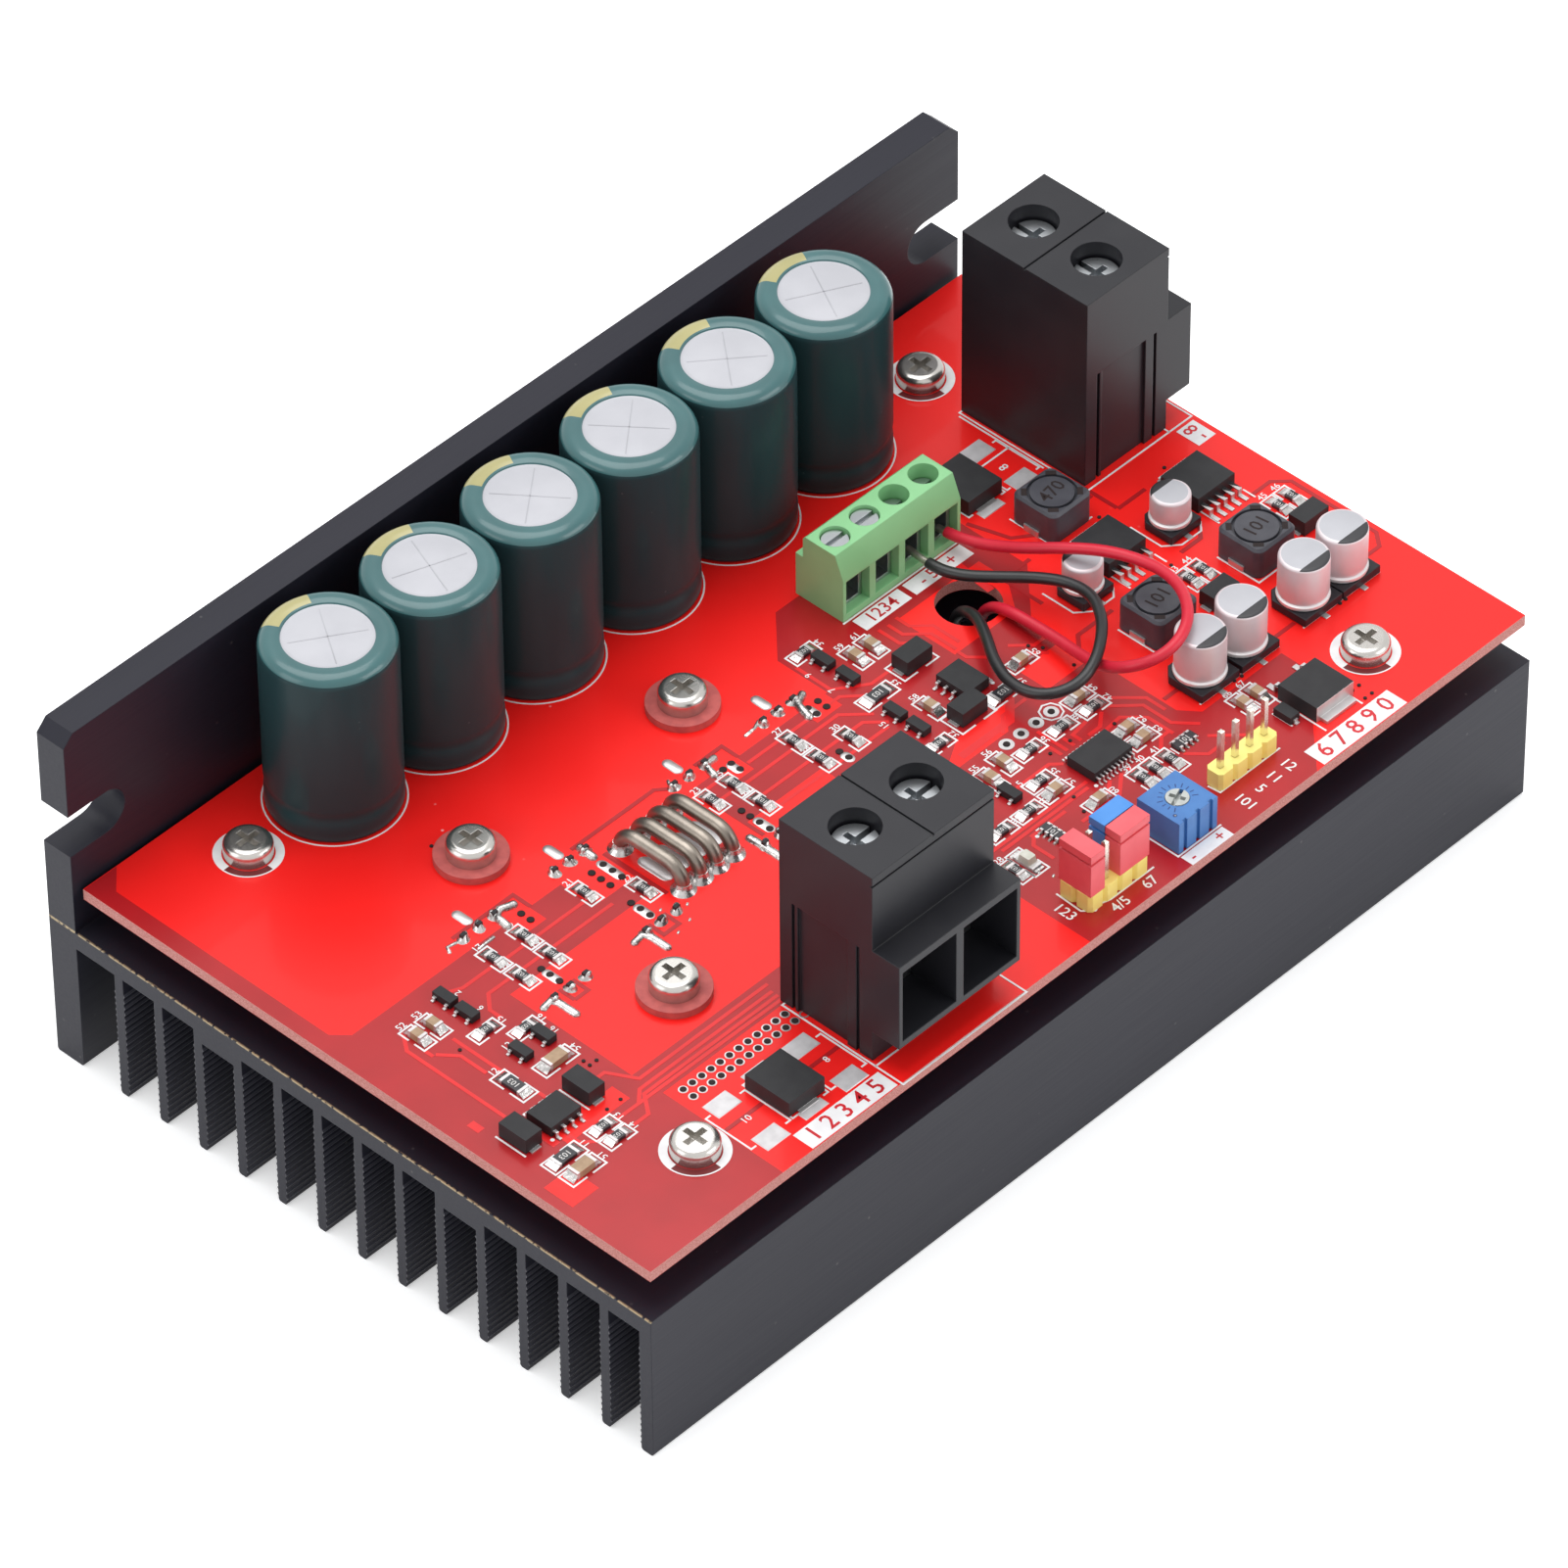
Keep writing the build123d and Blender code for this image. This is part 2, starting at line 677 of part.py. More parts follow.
regulator_places = [(140.3, 44.3), (124.5, 44.3)]
regulator_case = (6.1, 6.5)
output_gap = 1.2
output_inset = (regulator_case[1] + output_can + can_base_margin) / 2 + output_gap
output_places = [
    (along(x) - output_inset, across(y) - drop) for (x, y), drop in zip(regulator_places, (2.0, 2.3))
]
for number, place in enumerate(output_places, start=1):
    save(can_capacitor(place, output_can, output_can_height), f"output_capacitor_{number}")


def leaded_chips(spots, case, height, stand, span, foot, width, leads):
    """Moulded chips with bent leads; a lead is (side along the chip's x, place along its y)."""
    with BuildPart() as chips:
        with BuildSketch(Plane.XY.offset(board_top + stand)):
            with Locations(*spots):
                Rectangle(*case)
        extrude(amount=height)
        knee = stand + height / 2
        riser = span / 2 - foot
        shoulder = riser + foot_thickness - case[0] / 2
        pieces = (
            (foot, span / 2 - foot / 2, 0, foot_thickness),
            (foot_thickness, riser + foot_thickness / 2, 0, knee),
            (shoulder, case[0] / 2 + shoulder / 2, knee - foot_thickness, foot_thickness),
        )
        for run, reach, level, rise in pieces:
            with BuildSketch(Plane.XY.offset(board_top + level)):
                with Locations(*spots):
                    with Locations(*[(side * reach, along) for side, along in leads]):
                        Rectangle(run, width)
            extrude(amount=rise)
    return chips


def spots(places, turn=0):
    """Locations of small parts, from their distances to the left and front edges."""
    return [Location((along(x), across(y), 0), (0, 0, turn)) for x, y in places]


def row(count, pitch):
    """Evenly spaced places about the middle."""
    return [(n - (count - 1) / 2) * pitch for n in range(count)]


both_sides = (-1, 1)

# Switching regulators: five leads to the front, tab to the back
with BuildPart() as buck_regulators:
    regulator_spots = spots(regulator_places, 90)
    add(
        leaded_chips(
            regulator_spots, regulator_case, 2.3, 0.0, 11.6, 1.4, 0.6, [(-1, y) for y in row(5, 1.27)]
        ).part
    )
    with BuildSketch(Plane.XY.offset(board_top)):
        with Locations(*regulator_spots):
            with Locations((3.05, 0)):
                Rectangle(1.1, 5.2, align=(Align.MIN, Align.CENTER))
    extrude(amount=0.5)
save(buck_regulators, "buck_regulators")

# Linear regulator: tab to the front, two leads to the back
with BuildPart() as linear_regulator:
    linear_spots = spots([(122.4, 9.6)], 90)
    add(leaded_chips(linear_spots, (6.1, 6.5), 2.3, 0.0, 10.8, 1.4, 0.8, [(1, -2.28), (1, 2.28)]).part)
    with BuildSketch(Plane.XY.offset(board_top)):
        with Locations(*linear_spots):
            with Locations((-3.05, 0)):
                Rectangle(1.1, 5.2, align=(Align.MAX, Align.CENTER))
    extrude(amount=0.5)
save(linear_regulator, "linear_regulator")

ends = [(side, 0) for side in both_sides]
surge_spots = spots([(32.3, 9.9), (120.9, 64.3)], 90)
surge_diodes = leaded_chips(surge_spots, (6.9, 5.9), 2.2, 0.1, 8.0, 1.3, 3.0, ends)
save(surge_diodes, "surge_diodes")

small_diode_spots = spots([(6.2, 26.2), (16.5, 26.3)], 90) + spots(
    [(94.5, 48.2), (92.4, 37.4), (127.4, 29.2), (144.7, 30.5)]
)
with BuildPart() as rectifier_diodes:
    add(leaded_chips(small_diode_spots, (4.3, 2.6), 2.1, 0.1, 5.2, 1.0, 1.5, ends).part)
    add(leaded_chips(spots([(117.5, 9.8)], 90), (2.7, 1.6), 1.1, 0.05, 3.7, 0.5, 0.6, ends).part)
save(rectifier_diodes, "rectifier_diodes")

driver_chips = leaded_chips(
    spots([(11.2, 25.8)], 90) + spots([(95.7, 41.2)]),
    (3.9, 4.9),
    1.4,
    0.15,
    6.0,
    0.7,
    0.42,
    [(side, y) for side in both_sides for y in row(4, 1.27)],
)
save(driver_chips, "driver_chips")

controller_chip = leaded_chips(
    spots([(97.1, 20.75)], 90),
    (4.4, 6.5),
    1.4,
    0.1,
    6.4,
    0.6,
    0.25,
    [(side, y) for side in both_sides for y in row(10, 0.65)],
)
save(controller_chip, "controller_chip")

transistor_places = [
    (16.45, 48.2), (16.45, 44.7), (16.1, 35.8), (19.8, 35.8), (85.5, 24.3),
    (87.35, 55.8), (87.35, 51.8), (86.6, 43.5), (86.6, 39.8),
]
small_transistors = leaded_chips(
    spots(transistor_places), (1.4, 2.9), 1.0, 0.05, 2.6, 0.45, 0.42, [(-1, -0.95), (-1, 0.95), (1, 0)]
)
save(small_transistors, "small_transistors")


def chips(groups):
    """Plain chip parts: groups of (places, turn, size seen from above, height)."""
    with BuildPart() as piece:
        for places, turn, size, height in groups:
            with BuildSketch(Plane.XY.offset(board_top)):
                with Locations(*spots(places, turn)):
                    Rectangle(*size)
            extrude(amount=height)
    return piece


# Chip parts by their places from the left and front edges; turned ones lie along X
upright_resistors = [
    (25.05, 48.9), (30.1, 48.9), (25.15, 44.4), (30.05, 44.4), (40.0, 48.9), (45.1, 44.4),
    (65.0, 48.85), (65.0, 44.4), (75.05, 48.85), (75.05, 44.4), (80.1, 44.4), (61.2, 48.85),
    (98.2, 14.8), (100.4, 14.8), (102.8, 14.6), (76.5, 15.1), (144.5, 35.0), (146.8, 35.0),
    (127.6, 34.0), (129.9, 34.0),
]
turned_resistors = [
    (16.0, 41.3), (19.4, 38.25), (13.9, 20.7), (13.95, 18.4), (92.75, 27.8), (98.15, 27.75),
    (103.25, 27.4), (89.6, 23.3), (84.95, 20.8), (80.3, 20.8), (86.95, 58.6), (86.2, 36.2),
]
upright_capacitors = [
    (9.95, 46.2), (12.5, 46.2), (90.6, 53.6), (93.3, 53.6), (90.2, 41.2), (86.0, 27.7),
    (89.0, 28.5), (118.0, 14.8), (115.6, 14.8),
]
turned_capacitors = [(103.3, 38.9), (103.25, 29.8), (89.6, 20.9), (91.9, 16.1), (103.1, 21.9), (103.2, 19.5)]
chip_resistors = chips(
    [
        (upright_resistors, 0, resistor_size, resistor_height),
        (turned_resistors, 90, resistor_size, resistor_height),
        ([(11.85, 32.75)], 0, large_resistor_size, resistor_height),
        ([(7.5, 20.5), (87.5, 47.2), (97.8, 36.7)], 90, large_resistor_size, resistor_height),
    ]
)
save(chip_resistors, "chip_resistors")

chip_capacitors = chips(
    [
        (upright_capacitors, 0, chip_capacitor_size, chip_capacitor_height),
        (turned_capacitors, 90, chip_capacitor_size, chip_capacitor_height),
        ([(17.95, 32.1), (7.5, 17.7)], 90, large_chip_capacitor_size, chip_capacitor_height),
    ]
)
save(chip_capacitors, "chip_capacitors")

resistor_networks = chips([([(106.1, 15.6)], 90, (1.6, 3.2), 0.6), ([(84.1, 16.2)], 0, (1.6, 3.2), 0.6)])
save(resistor_networks, "resistor_networks")

with BuildPart() as status_led:
    add(chips([([(78.6, 15.2)], 0, (1.6, 3.2), 0.7)]).part)
    with BuildSketch(Plane.XY.offset(board_top + 0.7)):
        with Locations(*spots([(78.6, 15.2)])):
            Rectangle(1.5, 1.9)
    extrude(amount=0.6, taper=12)
save(status_led, "status_led")

# Trimmer: square body with a round blind seat, and the rotor that turns in it
trimmer_place = (along(trimmer_left) + trimmer_side / 2, FRONT + trimmer_front + trimmer_side / 2)
with BuildPart() as trimmer_body:
    with BuildSketch(Plane.XY.offset(board_top)):
        with Locations(trimmer_place):
            Rectangle(trimmer_side, trimmer_side)
        with Locations(*[(trimmer_place[0] + x, FRONT + trimmer_front) for x in (-2.2, 0, 2.2)]):
            Rectangle(0.6, 0.35, align=(Align.CENTER, Align.MIN), mode=Mode.SUBTRACT)
    extrude(amount=trimmer_height)
    with BuildSketch(Plane.XY.offset(board_top + trimmer_height)):
        with Locations(trimmer_place):
            Circle(rotor_diameter / 2 + rotor_clearance)
    extrude(amount=-(rotor_length - rotor_rise), mode=Mode.SUBTRACT)
save(trimmer_body, "trimmer_body")

with BuildPart() as trimmer_rotor:
    with BuildSketch(Plane.XY.offset(board_top + trimmer_height + rotor_rise)):
        with Locations(trimmer_place):
            Circle(rotor_diameter / 2)
    extrude(amount=-rotor_length)
    with BuildSketch(Plane.XY.offset(board_top + trimmer_height + rotor_rise)):
        with Locations(Location((*trimmer_place, 0), (0, 0, 20))):
            Rectangle(rotor_diameter, 0.55)
            Rectangle(0.55, rotor_diameter - 0.8)
    extrude(amount=-0.7, mode=Mode.SUBTRACT)
save(trimmer_rotor, "trimmer_rotor")

# Pin headers: eight-sided cells side by side, square pins through them, jumpers over some pins
with BuildSketch() as header_cell:
    Rectangle(pin_pitch, pin_pitch)
    chamfer(header_cell.vertices(), header_corner)

input_pins = [(along(input_header_left) + n * pin_pitch, across(input_header_front)) for n in range(4)]
mode_columns = [along(mode_header_left) + n * pin_pitch for n in range(4)]
mode_rows = [FRONT + mode_header_front + n * pin_pitch for n in range(2)]
mode_pins = [(x, y) for x in mode_columns for y in mode_rows]


def header(pins):
    """Plastic base of a header, pierced by its pins."""
    with BuildPart() as piece:
        with BuildSketch(Plane.XY.offset(board_top)):
            with Locations(*pins):
                add(header_cell.sketch)
            with Locations(*pins):
                Rectangle(
                    pin_side + 2 * thread_clearance, pin_side + 2 * thread_clearance, mode=Mode.SUBTRACT
                )
        extrude(amount=header_base)
    return piece


save(header(input_pins), "input_header")
save(header(mode_pins), "mode_header")

with BuildPart() as header_pins:
    with BuildSketch(Plane.XY.offset(board_top)):
        with Locations(*input_pins, *mode_pins):
            Rectangle(pin_side, pin_side)
    extrude(amount=pin_tip)
    chamfer(header_pins.faces().group_by(Axis.Z)[-1].edges(), 0.15)
save(header_pins, "header_pins")


def jumpers(groups):
    """Jumper caps: each group is (middle of the pair of pins, turn)."""
    with BuildPart() as piece:
        caps = [Location((x, y, 0), (0, 0, turn)) for (x, y), turn in groups]
        with BuildSketch(Plane.XY.offset(board_top + header_base)):
            with Locations(*caps):
                Rectangle(jumper_length, jumper_width)
        extrude(amount=jumper_height)
        with BuildSketch(Plane.XY.offset(board_top + header_base + jumper_height - 1.5)):
            with Locations(*caps):
                Rectangle(jumper_length, jumper_width)
                Rectangle(jumper_length - 0.5, jumper_width - 0.5, mode=Mode.SUBTRACT)
        extrude(amount=0.4, mode=Mode.SUBTRACT)
        with BuildSketch(Plane.XY.offset(board_top + header_base)):
            with Locations(*caps):
                with GridLocations(pin_pitch, 1, 2, 1):
                    Rectangle(pin_side + 2 * jumper_clearance, pin_side + 2 * jumper_clearance)
        extrude(amount=pin_tip - header_base + 0.1, mode=Mode.SUBTRACT)
    return piece


mode_middle = (mode_rows[0] + mode_rows[1]) / 2
right_pair = (mode_columns[2] + mode_columns[3]) / 2
red_jumpers = jumpers([((mode_columns[0], mode_middle), 90), ((right_pair, mode_rows[0]), 0)])
save(red_jumpers, "red_jumpers")
save(jumpers([((right_pair, mode_rows[1]), 0)]), "blue_jumper")

# Cooling fan: square frame with a motor plate on struts, and the bladed rotor on its axle
fan_top = bay_bottom
fan_bottom = fan_top - fan_depth
with BuildPart() as fan_frame:
    with BuildSketch(Plane.XY.offset(fan_bottom)):
        with Locations(fan_place):
            RectangleRounded(fan_side, fan_side, fan_corner)
            Circle(fan_bore / 2, mode=Mode.SUBTRACT)
        with Locations(*fan_screws_at):
            Circle(fan_hole / 2, mode=Mode.SUBTRACT)
    extrude(amount=fan_depth)
    with BuildSketch(Plane.XY.offset(fan_top - fan_plate)):
        with Locations(fan_place):
            Circle(fan_motor / 2)
            Rectangle(fan_bore + 0.4, fan_strut)
            Rectangle(fan_strut, fan_bore + 0.4)
    extrude(amount=fan_plate)
    with BuildSketch(Plane.XY.offset(fan_bottom + 2.4)):
        with Locations(fan_place):
            Circle(fan_bearing / 2)
    extrude(amount=fan_depth - 2.4 - fan_plate)
    with BuildSketch(Plane.XY.offset(fan_bottom + 2.4)):
        with Locations(fan_place):
            Circle(fan_axle / 2 + fan_axle_clearance)
    extrude(amount=fan_depth - 2.4 - fan_plate, mode=Mode.SUBTRACT)
save(fan_frame, "fan_frame")

with BuildPart() as fan_rotor:
    blade_bottom = fan_bottom + 0.8
    blade_top = fan_top - fan_plate - rotor_gap
    blade_middle = (blade_bottom + blade_top) / 2
    for n in range(blade_count):
        turn = n * 360 / blade_count
        heading = Vector(math.cos(math.radians(turn)), math.sin(math.radians(turn)), 0)
        sideways = Vector(-heading.Y, heading.X, 0)
        tilt = math.radians(blade_pitch_angle)
        chord_line = sideways * math.cos(tilt) + Vector(0, 0, math.sin(tilt))
        root = Vector(*fan_place, blade_middle)
        with BuildSketch(Plane(origin=root, x_dir=chord_line, z_dir=heading)):
            SlotOverall(blade_chord, blade_thickness)
        extrude(amount=fan_bore / 2 + 1)
    with BuildSketch(Plane.XY.offset(blade_bottom)):
        with Locations(fan_place):
            Circle(blade_span / 2)
    extrude(amount=blade_top - blade_bottom, mode=Mode.INTERSECT)
    with BuildSketch(Plane.XY.offset(blade_bottom)):
        with Locations(fan_place):
            Circle(rotor_hub / 2)
    extrude(amount=blade_top - blade_bottom)
    with BuildSketch(Plane.XY.offset(blade_bottom + rotor_wall)):
        with Locations(fan_place):
            Circle(rotor_hub / 2 - rotor_wall)
    extrude(amount=blade_top - blade_bottom - rotor_wall, mode=Mode.SUBTRACT)
    with BuildSketch(Plane.XY.offset(blade_bottom)):
        with Locations(fan_place):
            Circle(fan_axle / 2)
    extrude(amount=fan_top - fan_plate - 0.3 - blade_bottom)
save(fan_rotor, "fan_rotor")

fan_screws = pan_screws(fan_screws_at, fan_bottom, fan_screw_length, up=-1)
save(fan_screws, "fan_screws")

# Fan wires, from the signal terminal through the board to the side of the fan.
# Each point is the distance from the left edge and the front edge, and the height over the board.
black_route = [
    (107.0, 60.5, 2.4), (106.6, 56.4, 2.3), (107.5, 52.5, 2.6), (109.8, 48.6, 3.3),
    (112.0, 44.7, 4.2), (113.5, 40.9, 4.9), (113.5, 37.0, 5.3), (111.3, 33.4, 5.6),
    (108.2, 30.6, 5.8), (104.8, 28.5, 5.6), (101.6, 27.9, 4.8), (98.7, 29.3, 4.0),
    (97.2, 32.2, 3.4), (97.4, 35.7, 3.1), (99.0, 39.3, 3.0), (101.4, 42.7, 3.0),
    (103.6, 46.0, 2.4), (104.9, 49.2, 0.9), (106.0, 51.8, -2.2), (106.5, 52.8, -6.0),
    (106.4, 52.9, -9.6), (105.9, 52.8, -12.8), (104.7, 52.6, -15.5), (102.95, 52.3, -17.2),
]
red_route = [
    (112.1, 60.5, 2.4), (112.4, 57.0, 2.4), (113.3, 52.9, 3.3), (114.4, 48.3, 5.0),
    (116.1, 43.7, 6.8), (118.0, 39.4, 7.8), (119.3, 35.3, 8.2), (119.5, 31.1, 8.7),
    (118.4, 27.2, 9.0), (116.1, 24.1, 9.1), (113.4, 22.1, 9.1), (110.4, 21.4, 8.5),
    (107.6, 22.5, 7.4), (106.1, 25.2, 5.8), (106.2, 28.7, 3.8), (107.0, 32.8, 2.5),
    (107.7, 37.0, 1.9), (107.9, 41.0, 1.6), (107.9, 44.8, 1.4), (108.2, 48.1, 0.1),
    (108.7, 50.4, -3.2), (108.9, 50.7, -7.1), (108.3, 50.2, -10.9), (106.9, 49.7, -14.0),
    (105.0, 49.3, -16.3), (102.95, 49.0, -17.5),
]


def bend_radii(points):
    """Radius at each inner point: as large as its two runs allow."""
    radii = []
    for before, at, after in zip(points, points[1:], points[2:]):
        turn = math.radians((at - before).get_angle(after - at))
        radii.append(0.45 * min((at - before).length, (after - at).length) / math.tan(turn / 2))
    return radii


for node, route in (("fan_wire_black", black_route), ("fan_wire_red", red_route)):
    points = [Vector(LEFT + x, FRONT + y, board_top + rise) for x, y, rise in route]
    radii = bend_radii(points)
    with BuildPart() as fan_wire:
        with BuildLine() as path:
            FilletPolyline(*points, radius=radii)
        with BuildSketch(Plane(origin=points[0], z_dir=points[1] - points[0])):
            Circle(wire_diameter / 2)
        sweep()
    wire_length = path.wire().length
    expected = wire_length * math.pi * wire_diameter**2 / 4
    print(node, "length", round(wire_length, 1), "radii", [round(r, 1) for r in radii])
    print(node, "volume against section times length", round(fan_wire.part.volume / expected, 4))
    save(fan_wire, node)
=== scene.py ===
"""Looks of the motor driver module: finishes, small parts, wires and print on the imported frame."""

import functools
import logging
import math
from dataclasses import dataclass, field
from enum import Enum
from typing import Callable, Iterable, Sequence

import bmesh
import bpy
from mathutils import Matrix, Vector


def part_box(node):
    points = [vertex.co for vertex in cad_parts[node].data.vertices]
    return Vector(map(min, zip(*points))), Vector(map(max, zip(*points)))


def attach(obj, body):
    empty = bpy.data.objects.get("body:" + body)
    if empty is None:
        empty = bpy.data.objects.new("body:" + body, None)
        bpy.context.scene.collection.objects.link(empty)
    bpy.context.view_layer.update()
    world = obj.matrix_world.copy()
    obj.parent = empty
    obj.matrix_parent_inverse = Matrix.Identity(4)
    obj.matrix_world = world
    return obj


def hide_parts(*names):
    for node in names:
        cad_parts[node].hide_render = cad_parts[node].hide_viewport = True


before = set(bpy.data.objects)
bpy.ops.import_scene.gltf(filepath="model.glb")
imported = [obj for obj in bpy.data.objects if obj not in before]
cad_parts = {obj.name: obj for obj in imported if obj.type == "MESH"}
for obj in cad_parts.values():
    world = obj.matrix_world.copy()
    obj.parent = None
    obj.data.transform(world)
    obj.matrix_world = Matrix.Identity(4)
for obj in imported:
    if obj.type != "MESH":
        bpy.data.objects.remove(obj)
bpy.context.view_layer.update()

log = logging.getLogger("driver_module")

MM = 0.001
WELD_M = 1e-6
WELD_MM = 1e-5
BEVEL_STEPS = 2
BEVEL_FROM_DEGREES = 38
REFINED_SMOOTH = 30.0
TRANSISTOR_PITCH = 2.54

Pair = tuple[float, float]
Triple = tuple[float, float, float]
Colour = tuple[float, float, float]
Corner = bmesh.types.BMVert


class Body(Enum):
    """The module's bodies: the fixed one, which carries all added pieces, and two that turn."""

    MODULE = "module"
    TRIMMER = "trimmer_rotor"
    FAN = "fan_rotor"


@dataclass(frozen=True)
class Datum:
    """Edges of the module in the frame, in metres; places are given from them in millimetres."""

    left: float
    front: float
    right: float
    board_top: float
    board_bottom: float
    base_top: float

    @classmethod
    def from_frame(cls) -> "Datum":
        """Reads the edges from the heatsink and the board."""
        sink_low, sink_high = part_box("heatsink")
        board_low, board_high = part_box("circuit_board")
        spacer_low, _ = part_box("board_spacers")
        return cls(sink_low.x, sink_low.y, sink_high.x, board_high.z, board_low.z, spacer_low.z)

    def at(self, x: float, y: float, rise: float = 0.0) -> Vector:
        """A place from the left edge, the front edge and the top of the board."""
        return Vector((self.left + x * MM, self.front + y * MM, self.board_top + rise * MM))

    def home(self) -> Matrix:
        """Takes millimetres from the corner and the board's top to metres in the frame."""
        return Matrix.Translation(self.at(0, 0)) @ Matrix.Scale(MM, 4)

    def back_to_mm(self, place: Vector) -> Triple:
        """The reverse of at."""
        edges = (self.left, self.front, self.board_top)
        return tuple((value - edge) / MM for value, edge in zip(place, edges))


DATUM = Datum.from_frame()


def compass(degrees: float) -> Vector:
    """A flat unit vector, anticlockwise from X."""
    turn = math.radians(degrees)
    return Vector((math.cos(turn), math.sin(turn)))


def add_node(
    tree: bpy.types.NodeTree, kind: str, settings: dict | None = None, values: dict | None = None
) -> bpy.types.Node:
    """Adds a node to a tree.

    Args:
        tree: The tree.
        kind: The node's type.
        settings: Its properties.
        values: Sockets that are linked, or constants, by the name or number of the input.

    Returns:
        The node.
    """
    node = tree.nodes.new(kind)
    for key, setting in (settings or {}).items():
        setattr(node, key, setting)
    for key, value in (values or {}).items():
        entry = node.inputs[key]
        if isinstance(value, bpy.types.NodeSocket):
            tree.links.new(value, entry)
        elif isinstance(value, tuple) and entry.type == "RGBA":
            entry.default_value = (*value, 1.0)
        else:
            entry.default_value = value
    return node


class Value:
    """A number or colour that varies over a surface. Sums on a number add Math nodes."""

    def __init__(self, nodes: "Nodes", socket: bpy.types.NodeSocket) -> None:
        self.nodes = nodes
        self.socket = socket

    def _sum(self, operation: str, *terms: "Value | float") -> "Value":
        return self.nodes.add("ShaderNodeMath", {"operation": operation}, dict(enumerate(terms)))

    def __add__(self, other: "Value | float") -> "Value":
        return self._sum("ADD", self, other)

    def __radd__(self, other: float) -> "Value":
        return self._sum("ADD", other, self)

    def __sub__(self, other: "Value | float") -> "Value":
        return self._sum("SUBTRACT", self, other)

    def __rsub__(self, other: float) -> "Value":
        return self._sum("SUBTRACT", other, self)

    def __mul__(self, other: "Value | float") -> "Value":
        return self._sum("MULTIPLY", self, other)

    def __abs__(self) -> "Value":
        return self._sum("ABSOLUTE", self)

    def __gt__(self, other: "Value | float") -> "Value":
        return self._sum("GREATER_THAN", self, other)

    def __lt__(self, other: "Value | float") -> "Value":
        return self._sum("LESS_THAN", self, other)

    def most(self, other: "Value") -> "Value":
        """The larger of two."""
        return self._sum("MAXIMUM", self, other)

    def ease(self, low: float, high: float) -> "Value":
        """0 below low, 1 above high and a smooth step between; low may be the larger one."""
        return self.nodes.add(
            "ShaderNodeMapRange",
            {"interpolation_type": "SMOOTHSTEP"},
            {"Value": self, "From Min": low, "From Max": high},
        )


